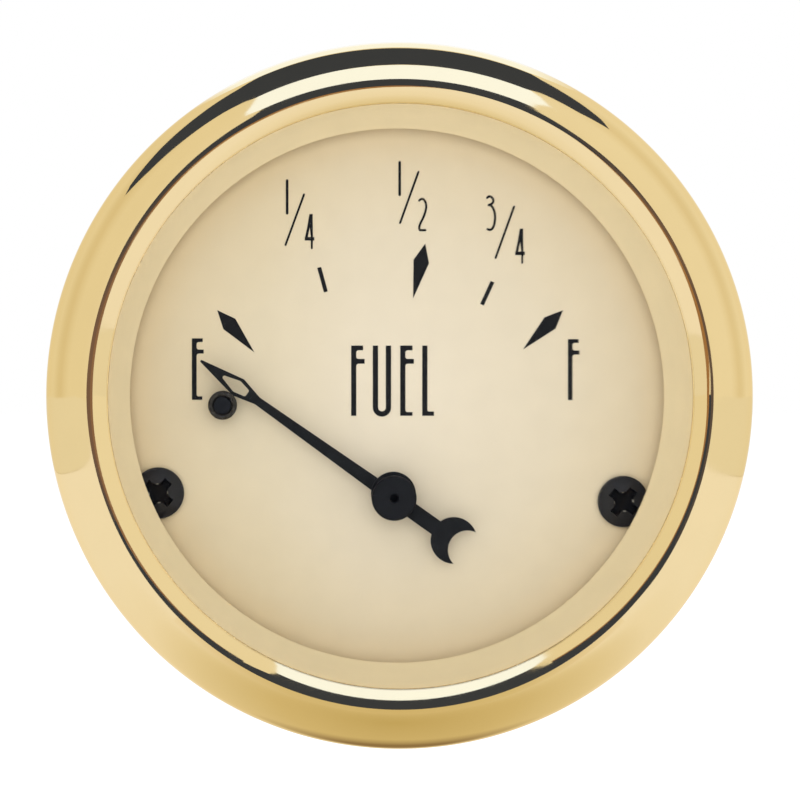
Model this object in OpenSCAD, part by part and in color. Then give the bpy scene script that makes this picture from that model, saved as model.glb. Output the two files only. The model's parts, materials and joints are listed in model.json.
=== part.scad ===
// Round short-sweep fuel gauge for a panel hole: bezel and dial in front, stepped steel can behind.
// Each piece is drawn with the dial facing +Z, and stand() then turns it to face -Y, with +Z up.
// The origin lies on the can's axis, in the plane where the bezel meets the panel.

/* [Bezel] */
// Outside diameter of the bezel
bezel_d = 66.4; // [60:0.1:72]
// Width of the bezel's face, from its outside to the opening over the glass
face_w = 5.9; // [5.7:0.05:7]
// How far the bezel stands in front of the panel
bezel_depth = 9.5; // [9.3:0.1:12]
// Radius of the bezel's outer shoulder, from the wall up to the crest
shoulder_r = 4.26; // [3.8:0.01:4.5]
// Radius of the inner roll, from the crest down to the opening
roll_r = 3.25; // [3:0.05:4.5]
// Height of the straight lip that presses on the glass
lip_h = 0.86; // [0.6:0.01:1]
// Thickness of the bezel's sheet metal
bezel_t = 0.6; // [0.4:0.05:0.7]
// Width of the hem that is rolled in behind the can's step
hem_w = 3.6; // [2.5:0.1:4]

/* [Can] */
// How far the bezel reaches beyond the can's body, over the panel round its hole
step_w = 7.1; // [6.8:0.05:7.4]
// Depth of the can behind the panel
body_depth = 38; // [36:0.5:50]
// Thickness of the can's sheet steel
can_t = 0.7; // [0.5:0.05:0.9]
// Outside radius of the bend at the can's rear edge
can_bend_r = 2; // [1:0.1:2.4]
// Clearance between the can's front cup and the bezel's wall
cup_gap = 0.2; // [0.1:0.05:0.4]

/* [Glass] */
// Thickness of the glass
glass_t = 1.5; // [1.2:0.1:2]
// Clearance between the edge of the glass and the bezel
glass_gap = 0.3; // [0.2:0.05:0.6]
// Thickness of the rubber ring behind the glass
gasket_t = 1.1; // [0.8:0.1:1.6]
// Width of the rubber ring
gasket_w = 2.2; // [1.8:0.1:2.4]

/* [Dial] */
// Clearance between the dial's edge and the spacer ring's wall, were both on the can's axis
dial_gap = 1.2; // [1:0.05:1.8]
// Thickness of the dial sheet
dial_t = 0.5; // [0.3:0.05:0.7]
// Thickness of the plate that carries dial and movement
plate_t = 0.9; // [0.7:0.05:1.2]
// How far the dial and its plate sit to the side of the can's axis
dial_shift = -0.79; // [-0.9:0.01:0.9]
// How far the dial is turned clockwise on its plate, in degrees
dial_turn = 1.1; // [-2:0.1:2]
// Thickness of the printed marks
ink_t = 0.04; // [0.02:0.01:0.08]
// Length of a kite mark
kite_l = 5.05; // [4:0.05:6]
// Width of a kite mark at its shoulders
kite_w = 1.42; // [1:0.02:2]
// Distance from a kite's outer tip to its shoulders
kite_shoulder = 1.62; // [1:0.02:2.4]
// Length of a plain tick
tick_l = 2.27; // [1.5:0.01:3]
// Width of a plain tick
tick_w = 0.32; // [0.2:0.01:0.6]
// Distance from the pointer's axis to the mark for empty
empty_at = 19.1; // [18.5:0.1:20]
// Distance from the pointer's axis to the quarter's tick
quarter_at = 20.5; // [19.5:0.1:21]
// Distance from the pointer's axis to the mark for half
half_at = 19; // [18.5:0.1:20]
// Distance from the pointer's axis to the three quarters' tick
three_quarter_at = 20.1; // [19.5:0.1:21]
// Distance from the pointer's axis to the mark for full
full_at = 18.7; // [18:0.1:19.5]

/* [Spacer ring] */
// How far the cone's lower edge reaches inside the bezel's opening
ring_lip = 2.15; // [1.8:0.05:2.4]
// Clearance between the ring's wall and the rubber ring round it
ring_gap = 0.65; // [0.4:0.05:0.9]
// Thickness of the ring's wall
ring_t = 0.6; // [0.4:0.05:0.8]
// Thickness of the cone's lower edge
ring_edge_t = 0.35; // [0.25:0.05:0.5]
// How far the ring sits to the side of the can's axis
ring_shift = -0.24; // [-0.3:0.01:0.3]

/* [Dial screws] */
// Distance of the dial screws from the edge of the dial, along the line that joins them
screw_in = 5.45; // [5.3:0.05:5.9]
// Diameter of a dial screw's head
screw_head_d = 4.84; // [4:0.02:5]
// Height of a dial screw's head
screw_head_h = 1.3; // [1:0.05:1.5]
// Diameter of a dial screw's thread
screw_d = 1.9; // [1.6:0.1:2.2]
// Half length of one arm of the cross recess
recess_l = 1.45; // [1:0.05:1.7]
// Width of an arm of the cross recess
recess_w = 0.72; // [0.4:0.02:0.9]
// Depth of the cross recess
recess_h = 0.8; // [0.5:0.05:0.9]

/* [Pointer] */
// Where the pointer's axis lies to the side of the can's axis
pivot_x = -0.56; // [-0.8:0.01:0.8]
// Distance from the pointer's axis down to the can's wall, which leaves room for the movement
movement_room = 15.8; // [15.4:0.1:16.8]
// Angle of the resting pointer from straight up, anticlockwise as seen, in degrees
rest_angle = 54.6; // [54:0.1:54.8]
// Length of the pointer from its axis to its tip
pointer_l = 22.3; // [21:0.1:23]
// Thickness of the pointer
pointer_t = 0.35; // [0.2:0.05:0.4]
// Height of the pointer above the dial
pointer_gap = 1.5; // [1:0.05:1.6]
// Distance from the axis to the head's shoulders
head_at = 17.95; // [17.5:0.05:18.4]
// Half width of the head at its shoulders
head_half_w = 0.92; // [0.8:0.01:0.93]
// Width of the rails round the pierced head
rail_w = 0.32; // [0.25:0.01:0.4]
// Distance from the axis to the foot of the head
head_foot = 15.8; // [15:0.05:16.2]
// Shaft width where it meets the head
shaft_tip_w = 0.78; // [0.6:0.02:0.9]
// Shaft width at the hub
shaft_hub_w = 1.36; // [1.1:0.02:1.6]
// Width of the tail's neck
neck_w = 1.49; // [1.2:0.01:1.8]
// Distance from the axis to the centre of the crescent's round back
crescent_at = 6.94; // [6:0.02:8]
// Radius of the crescent's round back
crescent_r = 2.2; // [2:0.05:2.5]
// Radius of the crescent's mouth
mouth_r = 1.84; // [1.6:0.02:1.9]
// How far the mouth's centre lies beyond the crescent's centre
mouth_shift = 1.56; // [1.3:0.02:1.7]
// Diameter of the hub
hub_d = 4.22; // [3.8:0.02:4.6]
// Diameter of the hub's spigot through the pointer
spigot_d = 2; // [1.6:0.1:2.4]
// Height of the hub's lower collar
collar_step = 0.7; // [0.4:0.05:1]
// How far the lower collar is off the hub's centre
collar_off = 0.36; // [0:0.02:0.5]
// Clearance between the hub and the glass
hub_clear = 0.4; // [0.3:0.05:0.8]
// Diameter of the spindle
spindle_d = 0.8; // [0.7:0.02:1]
// Radial clearance of the spindle in its bearings
bearing_gap = 0.05; // [0.02:0.01:0.08]

/* [Stop] */
// Distance from the pointer's axis to the stop post
stop_at = 18.32; // [18.1:0.02:18.6]
// Angle of the stop post from straight up, anticlockwise as seen, in degrees
stop_angle = 61.6; // [61.6:0.1:63]
// Diameter of the stop's soft sleeve
sleeve_d = 2.56; // [2.3:0.02:2.58]
// Height of the sleeve above the dial
sleeve_h = 2.5; // [2.2:0.05:3]
// Diameter of the stop's steel post
post_d = 1.56; // [1.3:0.02:1.7]
// Width of the open groove between post and sleeve
groove_w = 0.2; // [0.1:0.01:0.24]
// Depth of that groove
groove_h = 0.9; // [0.5:0.05:1.4]

/* [Movement] */
// Side of the square bobbin
bobbin_w = 14; // [13.4:0.1:14.6]
// Height of the bobbin's two halves together
bobbin_h = 12; // [10:0.2:12]
// Side of the square posts at the bobbin's corners
corner_w = 3.2; // [3:0.05:3.4]
// Thickness of a coil's winding
coil_t = 1.5; // [1.2:0.05:1.6]
// Width of each half of a coil
coil_w = 3.5; // [3:0.05:3.6]
// Clearance between windings and what they lie on
coil_gap = 0.08; // [0.05:0.01:0.1]
// Clearance between the outer winding and the plate
coil_end_gap = 0.45; // [0.3:0.05:0.8]
// Diameter of the magnet rotor
magnet_d = 10; // [8:0.1:10.4]
// Thickness of the magnet rotor
magnet_t = 3; // [2:0.1:3.4]
// Clearance all round the magnet rotor
magnet_gap = 0.5; // [0.3:0.05:0.6]
// Outside diameter of the bearing bushes
bush_d = 3; // [2.4:0.05:3.1]
// Inside diameter of the shield round the coils
shield_d = 25.6; // [25.4:0.1:26]
// Thickness of the shield
shield_t = 0.5; // [0.4:0.05:0.8]
// Diameter of the long screws that hold the movement together
tie_d = 1.6; // [1.2:0.1:1.8]

/* [Circuit board] */
// Distance from the circuit board to the can's rear wall
board_gap = 4.3; // [4:0.1:6]
// Thickness of the circuit board
board_t = 1.6; // [1:0.1:1.8]
// Clearance between the board's round edge and the can's wall
board_edge_gap = 2; // [1:0.1:2.4]
// How far the board reaches above the can's axis
board_top = 3.6; // [3:0.1:5]

/* [Terminals] */
// Sideways distance from the middle terminal to each outer one
terminal_dx = 10; // [9:0.1:11]
// How far the outer terminals lie below the can's axis
terminal_drop = 12.5; // [12:0.1:13]
// How far the middle terminal lies below the outer ones
middle_drop = 4; // [3:0.1:5]
// Diameter of a terminal stud
terminal_d = 4.17; // [4:0.01:4.3]
// How far a terminal stud stands out behind the can
terminal_l = 14; // [12.5:0.1:18]
// Diameter of the insulators
insulator_d = 8.6; // [8:0.1:9]
// Thickness of the insulator outside the can
insulator_t = 1.2; // [1:0.1:1.6]
// Width across flats of a terminal nut
terminal_nut_af = 8.7; // [8:0.1:9]
// Height of a terminal nut
terminal_nut_h = 3.2; // [3:0.1:3.6]
// Thickness of a terminal washer
terminal_washer_t = 0.8; // [0.6:0.05:1]

/* [Clamp] */
// Distance between the two mounting studs
stud_span = 35; // [33:0.5:36]
// Diameter of a mounting stud
stud_d = 4.82; // [4.6:0.01:4.86]
// How far a mounting stud stands out behind the can
stud_l = 20; // [19:0.1:24]
// Height of the nut that fixes a mounting stud to the can
stud_nut_h = 2.4; // [2:0.1:2.5]
// Width across flats of that nut
stud_nut_af = 9.5; // [9:0.1:9.6]
// Thickness of the clamp's steel strip
clamp_t = 1.5; // [1.2:0.1:2]
// Width of the strip
clamp_w = 12; // [11:0.1:13]
// Distance from the panel plane to the clamp's feet at rest
clamp_rest = 5; // [4.6:0.1:5.4]
// Distance from the can's rear to the clamp's bridge at rest
bridge_gap = 6.5; // [6.3:0.1:7]
// Clearance between each leg and the can
leg_gap = 2.2; // [1.8:0.1:2.4]
// Length of each turned-out foot
foot_l = 3; // [2.2:0.1:3.4]
// Inside radius of the clamp's bends
clamp_bend_r = 1.5; // [1:0.1:2]
// Diameter of the clamp's holes for the mounting studs
clamp_hole_d = 5.3; // [5.1:0.1:5.6]
// Thickness of a spring washer under a thumb nut
spring_washer_t = 1; // [0.8:0.1:1.2]
// Diameter of a thumb nut's knurled rim
thumb_d = 12.7; // [12:0.1:14]
// Height of a thumb nut
thumb_h = 6.5; // [5:0.1:7]
// Diameter of a thumb nut's plain collar
collar_d = 9.4; // [9:0.1:10]
// Height of that collar
collar_h = 1.6; // [1:0.1:2]
// Radial clearance of a thumb nut on its stud
thumb_gap = 0.05; // [0.03:0.01:0.1]

/* [Lamp] */
// Distance from the lamp's axis up to the can's wall
lamp_room = 10.2; // [9.9:0.1:10.4]
// Diameter of the lamp's hole in the can
lamp_hole_d = 14.2; // [14:0.1:14.6]
// Radial clearance of the lamp holder in its hole
lamp_gap = 0.1; // [0.05:0.05:0.2]
// Diameter of the lamp holder's flange
lamp_flange_d = 16; // [15.6:0.1:16.4]
// Thickness of the flange
lamp_flange_t = 1.5; // [1:0.1:2]
// Diameter of the lamp holder's grip
lamp_grip_d = 11.6; // [11:0.1:12.4]
// How far the lamp holder stands out behind the can
lamp_out = 9; // [8:0.1:11]
// How far the lamp holder reaches into the can
lamp_in = 4; // [3:0.1:6]
// Thickness of the lamp holder's floor
lamp_floor_t = 3; // [2:0.1:4]
// Diameter of the bulb's glass
bulb_d = 10; // [9:0.1:10.2]
// Length of the bulb's glass
bulb_l = 17; // [15:0.1:20]
// Width of the bulb's wedge base
wedge_w = 8.6; // [8:0.1:9]
// Thickness of the bulb's wedge base
wedge_t = 2.6; // [2.2:0.1:3]
// Length of the bulb's wedge base
wedge_l = 6.5; // [5:0.1:7]

/* [Hidden] */
$fn = 96;

// Longer than any piece is thick, for cuts that go right through
through = 30;
// How far a cut starts outside the face that it opens
over = 0.1;

bezel_r = bezel_d / 2;
opening_r = bezel_r - face_w;
crest_r = bezel_r - shoulder_r;
shoulder_z = bezel_depth - shoulder_r;
roll_z = bezel_depth - roll_r;
// Height of the roll's outer face where it ends at the opening
opening_z = roll_z + sqrt(pow(roll_r, 2) - pow(crest_r - opening_r, 2));
glass_front = opening_z - lip_h;
glass_back = glass_front - glass_t;
// The shoulder's inner face limits the glass at its front
glass_r = crest_r + sqrt(pow(shoulder_r - bezel_t, 2) - pow(glass_front - shoulder_z, 2)) - glass_gap;

cup_r = bezel_r - bezel_t - cup_gap;
cup_front = glass_back - gasket_t;
gasket_r = cup_r - can_t / 2;
body_r = bezel_r - step_w;
// Inside radius of the can's body
bore_r = body_r - can_t;
step_front = bezel_t + can_t;
body_back = -body_depth;
wall_front = body_back + can_t;

plate_top = step_front + plate_t;
dial_top = plate_top + dial_t;
screw_top = dial_top + screw_head_h;
ring_wall_r = gasket_r - gasket_w - ring_gap;
ring_inner_r = opening_r - ring_lip;
dial_r = ring_wall_r - ring_t - dial_gap;
screw_at = dial_r - screw_in;
// The cone starts under the edge of the bezel's opening, out of sight
cone_top_r = opening_r + 0.5;
// The cone's lower edge clears the dial screws' heads
cone_low = screw_top + 0.25;
cone_slope = (glass_back - cone_low - ring_edge_t) / (cone_top_r - ring_inner_r);
ring_top_back = glass_back - ring_t;

pivot_drop = bore_r - movement_room;
pivot = [pivot_x, -pivot_drop];
pointer_back = dial_top + pointer_gap;
pointer_front = pointer_back + pointer_t;
hub_top = glass_back - hub_clear;
spindle_r = spindle_d / 2;
bearing_r = spindle_r + bearing_gap;
// Thickness of the lower bearing's floor, which carries the spindle's foot
bearing_floor_t = 1;
// How far the spindle's end lies below the hub's face
spindle_recess = 1.5;
// Clearance of pieces that are pressed together
press_gap = 0.02;
// Clearance of holes that only let a piece through
pass_gap = 0.15;
hub_hole_r = spindle_r + press_gap;
// Angle of the collar's offset from straight up, anticlockwise as seen, in degrees
collar_lean = 8;
sleeve_r = sleeve_d / 2;
stop_place = [
    pivot_x - stop_at * sin(stop_angle),
    -pivot_drop + stop_at * cos(stop_angle)
];

// Height of the coils' centre, which puts the bobbin's corner posts against the plate
movement_half = bobbin_h / 2 + 2 * (coil_gap + coil_t) + coil_end_gap;
movement_z = step_front - movement_half;
movement_back = movement_z - movement_half;
// Corner posts stand just proud of the inner winding
corner_at = bobbin_w / 2 + coil_gap + coil_t - corner_w / 2 + 0.05;
bush_r = bush_d / 2;
// Clearance between the bush and the windings beside it
bush_gap = 0.1;
tie_head_h = 1.2;
tie_head_d = 3;

// Light slots: their outer edge, and their inner edges in the dial and in the plate below it
slot_rim_w = 0.5;
slot_out_r = dial_r - slot_rim_w;
slot_cover = 0.9;
dial_slot_in_r = ring_inner_r + slot_cover;
slot_reach = 1.6;
plate_slot_in_r = bore_r - slot_reach;

board_r = bore_r - board_edge_gap;
board_back = wall_front + board_gap;
board_front = board_back + board_t;
lead_r = 0.35;
// Half the distance between two leads in one corner post
lead_step = 0.8;
// How far a lead reaches into its corner post
lead_in = 3;
// How far a lead stands out behind the board
lead_out = 0.8;
resistor_place = [0, -1];
resistor_l = 9;
resistor_r = 1.7;
// Distance between the resistor's bent leads
resistor_pitch = 13;
terminal_places = [
    [-terminal_dx, -terminal_drop],
    [0, -terminal_drop - middle_drop],
    [terminal_dx, -terminal_drop]
];
terminal_r = terminal_d / 2;
// Wall of the insulator's neck in the can's hole, with its clearance
terminal_hole_r = terminal_r + 0.9;
terminal_head_r = 3;
terminal_head_h = 1.6;
// Radial clearance of washers and insulators on the studs
washer_gap = 0.08;
insulator_r = insulator_d / 2;
insulator_back = body_back - insulator_t;
nut_pitch = terminal_washer_t + terminal_nut_h;
nuts_back = insulator_back - 2 * nut_pitch;
terminal_groove_w = 0.6;

stud_r = stud_d / 2;
stud_places = [[-stud_span / 2, 0], [stud_span / 2, 0]];
bridge_front = body_back - bridge_gap;
bridge_back = bridge_front - clamp_t;
leg_inner = body_r + leg_gap;
feet_front = -clamp_rest;
thumb_front = bridge_back - spring_washer_t;
thumb_back = thumb_front - thumb_h;

lamp_place = [0, bore_r - lamp_room];
lamp_neck_r = lamp_hole_d / 2 - lamp_gap;
lamp_back = body_back - lamp_out;
lamp_floor = lamp_back + lamp_floor_t;
lamp_mouth = wall_front + lamp_in;
bulb_r = bulb_d / 2;
bulb_bore_r = bulb_r + 0.25;
bulb_back = lamp_floor + wedge_l;
// Clearance of the wedge base and its contacts in the lamp holder
wedge_gap = 0.1;
contact_w = 3;
contact_t = 0.5;
contact_y = wedge_t / 2 + wedge_gap / 2 + contact_t / 2;
// How far the contacts' tabs stand out behind the lamp holder
contact_out = 4.5;

gold = "#e3cf92";
cream = "#ead9b4";
ink = "#242526";
steel = "#b9bcc0";
dark_steel = "#3a3b3e";
brass = "#c8a24e";
copper = "#b5673a";

// Turns a piece from dial-up to dial-forward
module stand() {
    rotate([90, 0, 0]) children();
}

// A revolved ring of rectangular section
module tube(r_in, r_out, low, high) {
    translate([0, 0, low])
        difference() {
            cylinder(r = r_out, h = high - low);
            translate([0, 0, -over]) cylinder(r = r_in, h = high - low + 2 * over);
        }
}

module at(place) {
    translate([place[0], place[1], 0]) children();
}

// A hexagonal nut with its corners turned round, as nuts are
module hex_nut(flats, hole_r, low, high) {
    corner_r = flats / 2 / cos(30);
    face_r = flats / 2 - 0.1;
    height = high - low;
    difference() {
        intersection() {
            translate([0, 0, low]) cylinder(r = corner_r, h = height, $fn = 6);
            translate([0, 0, low]) cylinder(r1 = face_r, r2 = face_r + height, h = height);
        }
        translate([0, 0, low - over]) cylinder(r = hole_r, h = high - low + 2 * over);
    }
}

// Section of the bezel's sheet: hem, wall, shoulder, roll and lip
module bezel_section() {
    edge_r = bezel_t;
    difference() {
        union() {
            translate([crest_r, edge_r]) square([shoulder_r, shoulder_z - edge_r]);
            translate([crest_r, 0]) square([shoulder_r - edge_r, edge_r + over]);
            translate([bezel_r - edge_r, edge_r]) circle(r = edge_r);
            translate([crest_r, shoulder_z])
                intersection() {
                    circle(r = shoulder_r);
                    translate([0, -over]) square(shoulder_r + over);
                }
            intersection() {
                translate([crest_r, roll_z]) circle(r = roll_r);
                translate([opening_r, glass_front])
                    square([crest_r - opening_r + over, bezel_depth - glass_front]);
            }
        }
        translate([0, bezel_t]) square([bezel_r - bezel_t, shoulder_z - bezel_t]);
        translate([0, -over]) square([bezel_r - hem_w, shoulder_z]);
        translate([crest_r, shoulder_z])
            intersection() {
                circle(r = shoulder_r - bezel_t);
                translate([0, -over]) square(shoulder_r);
            }
        intersection() {
            translate([crest_r, roll_z]) circle(r = roll_r - bezel_t);
            translate([opening_r + bezel_t, glass_front - over])
                square([crest_r - opening_r - bezel_t + over, bezel_depth - glass_front]);
        }
        translate([opening_r + bezel_t, shoulder_z - over])
            square([crest_r - opening_r - bezel_t + over, glass_front - shoulder_z + 2 * over]);
    }
}

module bezel() {
    color(gold) stand() rotate_extrude() bezel_section();
}

// Section of one surface of the can's body, with its rear bend
module body_section(r, low, bend) {
    translate([0, low]) square([r - bend, -low + bezel_t]);
    translate([0, low + bend]) square([r, -low - bend + bezel_t]);
    translate([r - bend, low + bend]) circle(r = bend);
}

module can() {
    color(steel) stand()
        difference() {
            rotate_extrude()
                difference() {
                    union() {
                        body_section(body_r, body_back, can_bend_r);
                        translate([0, bezel_t]) square([cup_r, cup_front - bezel_t]);
                    }
                    body_section(bore_r, wall_front, can_bend_r - can_t);
                    square([bore_r, step_front + over]);
                    translate([0, step_front]) square([cup_r - can_t, cup_front]);
                }
            at(lamp_place) cylinder(r = lamp_hole_d / 2, h = 2 * through + body_depth, center = true);
            for (p = terminal_places)
                at(p) translate([0, 0, body_back - over])
                    cylinder(r = terminal_hole_r, h = can_t + 2 * over);
            for (p = stud_places)
                at(p) translate([0, 0, body_back - over])
                    cylinder(r = stud_r + press_gap, h = can_t + 2 * over);
        }
}

module glass() {
    color("lightcyan", 0.35) stand() translate([0, 0, glass_back]) cylinder(r = glass_r, h = glass_t);
}

module glass_gasket() {
    color(ink) stand() tube(gasket_r - gasket_w, gasket_r, cup_front, glass_back);
}

// Channel-shaped ring: a wall on the can's step, a flat under the glass and a cone down to the dial
module spacer_ring() {
    color(cream) stand() translate([ring_shift, 0, 0])
        rotate_extrude()
            polygon([
                [ring_wall_r, step_front],
                [ring_wall_r, glass_back],
                [cone_top_r, glass_back],
                [ring_inner_r, cone_low + ring_edge_t],
                [ring_inner_r, cone_low],
                [ring_inner_r + (ring_top_back - cone_low) / cone_slope, ring_top_back],
                [ring_wall_r - ring_t, ring_top_back],
                [ring_wall_r - ring_t, step_front]
            ]);
}

module at_dial_screws() {
    translate([dial_shift, -pivot_drop, 0])
        rotate([0, 0, -dial_turn])
            for (side = [-1, 1])
                translate([side * screw_at, 0, 0]) children();
}

// Slots under the spacer ring that let lamp light pass the dial's rim
module light_slots(r_in, r_out, low, high) {
    slot_angle = 35;
    for (start = [40, 105, 240])
        rotate([0, 0, start])
            translate([0, 0, low])
                rotate_extrude(angle = slot_angle)
                    translate([r_in, 0]) square([r_out - r_in, high - low]);
}

module dial() {
    color(cream) stand()
        difference() {
            translate([dial_shift, 0, plate_top]) cylinder(r = dial_r, h = dial_t);
            at(pivot) cylinder(r = bush_r + pass_gap, h = through);
            at(stop_place) cylinder(r = post_d / 2 + press_gap, h = through);
            at_dial_screws() cylinder(r = screw_d / 2 + pass_gap, h = through);
            translate([dial_shift, 0, 0])
                light_slots(dial_slot_in_r, slot_out_r, plate_top - over, dial_top + over);
        }
}

module kite_mark() {
    linear_extrude(ink_t)
        polygon([
            [0, 0],
            [kite_w / 2, kite_l - kite_shoulder],
            [0, kite_l],
            [-kite_w / 2, kite_l - kite_shoulder]
        ]);
}

module tick_mark() {
    translate([-tick_w / 2, 0, 0]) cube([tick_w, tick_l, ink_t]);
}

// Each mark: clockwise angle round the pointer's axis, distance of its inner end, and its own lean
module at_mark(mark) {
    at(pivot)
        translate([mark[1] * sin(mark[0]), mark[1] * cos(mark[0]), dial_top])
            rotate([0, 0, -mark[0] - mark[2]]) children();
}

module dial_marks() {
    kites = [[-43.8, empty_at, 2.5], [5.7, half_at, 6.8], [41.3, full_at, 4.3]];
    ticks = [[-18.2, quarter_at, 3], [24.7, three_quarter_at, 0]];
    color(ink) stand() {
        for (mark = kites) at_mark(mark) kite_mark();
        for (mark = ticks) at_mark(mark) tick_mark();
    }
}

// Domed pan head with a cross recess, and a plain shank for its thread
module dial_screw() {
    head_r = screw_head_d / 2;
    dome_h = screw_head_h * 0.7;
    dome_r = (pow(head_r, 2) + pow(dome_h, 2)) / (2 * dome_h);
    translate([0, 0, dial_top])
        difference() {
            union() {
                intersection() {
                    cylinder(r = head_r, h = screw_head_h);
                    translate([0, 0, screw_head_h - dome_r]) sphere(r = dome_r);
                }
                translate([0, 0, -dial_t - plate_t]) cylinder(r = screw_d / 2, h = dial_t + plate_t + over);
            }
            translate([0, 0, screw_head_h - recess_h])
                rotate([0, 0, 45 - dial_turn])
                    for (turn = [0, 90])
                        rotate([0, 0, turn])
                            translate([-recess_l, -recess_w / 2, 0])
                                cube([2 * recess_l, recess_w, screw_head_h]);
        }
}

module dial_screws() {
    color(ink) stand() at_dial_screws() dial_screw();
}

module stop_post() {
    color(dark_steel) stand() at(stop_place)
        translate([0, 0, step_front]) cylinder(r = post_d / 2, h = dial_top - step_front + sleeve_h);
}

// Soft sleeve, open round the post at its top
module stop_sleeve() {
    bead_r = 0.15;
    color(ink) stand() at(stop_place)
        difference() {
            rotate_extrude() {
                translate([0, dial_top]) square([sleeve_r, sleeve_h - bead_r]);
                translate([0, dial_top]) square([sleeve_r - bead_r, sleeve_h]);
                translate([sleeve_r - bead_r, dial_top + sleeve_h - bead_r]) circle(r = bead_r);
            }
            translate([0, 0, step_front]) cylinder(r = post_d / 2 + press_gap, h = through);
            translate([0, 0, dial_top + sleeve_h - groove_h])
                cylinder(r = post_d / 2 + groove_w, h = through);
        }
}

module at_ties() {
    at(pivot)
        for (side = [-1, 1])
            translate([side * corner_at, side * corner_at, 0]) children();
}

module movement_plate() {
    color(brass) stand()
        difference() {
            translate([dial_shift, 0, step_front]) cylinder(r = dial_r, h = plate_t);
            at(pivot) cylinder(r = bush_r + press_gap, h = through);
            at(stop_place) cylinder(r = post_d / 2 + press_gap, h = through);
            at_dial_screws() cylinder(r = screw_d / 2 + press_gap, h = through);
            at_ties() cylinder(r = tie_d / 2 + press_gap, h = through);
            translate([dial_shift, 0, 0])
                light_slots(plate_slot_in_r, slot_out_r, step_front - over, plate_top + over);
        }
}

// Long screws from behind, through both bobbin halves into the plate
module tie_screws() {
    color(steel) stand() at_ties() {
        translate([0, 0, movement_back - over]) cylinder(r = tie_d / 2, h = plate_top - movement_back + over);
        translate([0, 0, movement_back - tie_head_h]) cylinder(r = tie_head_d / 2, h = tie_head_h);
    }
}

// One half of the bobbin, above the coils' centre: a block with the rotor's chamber, and four corner posts
module bobbin_half() {
    difference() {
        union() {
            translate([-bobbin_w / 2, -bobbin_w / 2, 0]) cube([bobbin_w, bobbin_w, bobbin_h / 2]);
            for (x = [-1, 1], y = [-1, 1])
                translate([x * corner_at - corner_w / 2, y * corner_at - corner_w / 2, 0])
                    cube([corner_w, corner_w, movement_half]);
        }
        translate([0, 0, -over])
            cylinder(r = magnet_d / 2 + magnet_gap, h = magnet_t / 2 + magnet_gap + over);
        cylinder(r = bush_r + press_gap, h = through);
        for (side = [-1, 1])
            translate([side * corner_at, side * corner_at, -over])
                cylinder(r = tie_d / 2 + pass_gap, h = through);
    }
}

module upper_bobbin() {
    color("#3b3f44") stand() at(pivot) translate([0, 0, movement_z]) bobbin_half();
}

module lower_bobbin() {
    color("#50555b") stand() at(pivot)
        difference() {
            translate([0, 0, movement_z]) mirror([0, 0, 1]) bobbin_half();
            at_lead_holes()
                translate([0, 0, movement_back - over]) cylinder(r = lead_r + press_gap, h = lead_in + over);
        }
}

// One flat winding round the bobbin, with a gap in the middle for the bush
module coil(half_w, half_h) {
    for (side = [-1, 1])
        translate([0, side * (bush_r + bush_gap + coil_w / 2), 0])
            rotate([90, 0, 0])
                linear_extrude(coil_w, center = true)
                    difference() {
                        square([2 * (half_w + coil_t), 2 * (half_h + coil_t)], center = true);
                        square([2 * half_w, 2 * half_h], center = true);
                    }
}

module inner_coil() {
    color(copper) stand() at(pivot) translate([0, 0, movement_z])
        coil(bobbin_w / 2 + coil_gap, bobbin_h / 2 + coil_gap);
}

module outer_coil() {
    color("#c27a45") stand() at(pivot) translate([0, 0, movement_z]) rotate([0, 0, 90])
        coil(bobbin_w / 2 + coil_gap, bobbin_h / 2 + 2 * coil_gap + coil_t);
}

module upper_bearing() {
    color(brass) stand() at(pivot)
        tube(bearing_r, bush_r, movement_z + magnet_t / 2 + magnet_gap, dial_top);
}

// Blind bush that carries the spindle's foot
module lower_bearing() {
    low = movement_z - bobbin_h / 2;
    color(brass) stand() at(pivot)
        difference() {
            translate([0, 0, low]) cylinder(r = bush_r, h = bobbin_h / 2 - magnet_t / 2 - magnet_gap);
            translate([0, 0, low + bearing_floor_t]) cylinder(r = bearing_r, h = bobbin_h);
        }
}

// Soft-iron sleeve between the plate and the bobbin's rear ends
module shield() {
    color(steel) stand() at(pivot) tube(shield_d / 2, shield_d / 2 + shield_t, movement_back, step_front);
}

module magnet_rotor() {
    color(dark_steel) stand() at(pivot)
        tube(spindle_r + press_gap, magnet_d / 2, movement_z - magnet_t / 2, movement_z + magnet_t / 2);
}

module spindle() {
    low = movement_z - bobbin_h / 2 + bearing_floor_t + bearing_gap;
    high = hub_top - spindle_recess;
    color(steel) stand() at(pivot) translate([0, 0, low]) cylinder(r = spindle_r, h = high - low);
}

// A round corner of the pointer's outline, in the plane of the pointer
module spot(along, across, r) {
    for (side = across == 0 ? [0] : [-1, 1])
        translate([side * across, along]) circle(r = r, $fn = 32);
}

// Spear head, tapering shaft and crescent tail, tip upwards and still unpierced
module pointer_blank() {
    tip_r = 0.12;
    corner_r = 0.32;
    // Radius of the pointer round its hole for the spigot
    eye_r = spigot_d / 2 + 0.6;
    linear_extrude(pointer_t)
        hull() {
            spot(pointer_l - tip_r, 0, tip_r);
            spot(head_at, head_half_w - corner_r, corner_r);
        }
    linear_extrude(pointer_t)
        hull() {
            spot(head_at, head_half_w - corner_r, corner_r);
            spot(head_foot, 0, shaft_tip_w / 2);
        }
    linear_extrude(pointer_t)
        polygon([
            [-shaft_tip_w / 2, head_foot],
            [shaft_tip_w / 2, head_foot],
            [shaft_hub_w / 2, 0],
            [-shaft_hub_w / 2, 0]
        ]);
    translate([-neck_w / 2, -crescent_at, 0]) cube([neck_w, crescent_at, pointer_t]);
    cylinder(r = eye_r, h = pointer_t);
    translate([0, -crescent_at, 0]) cylinder(r = crescent_r, h = pointer_t);
}

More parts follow.
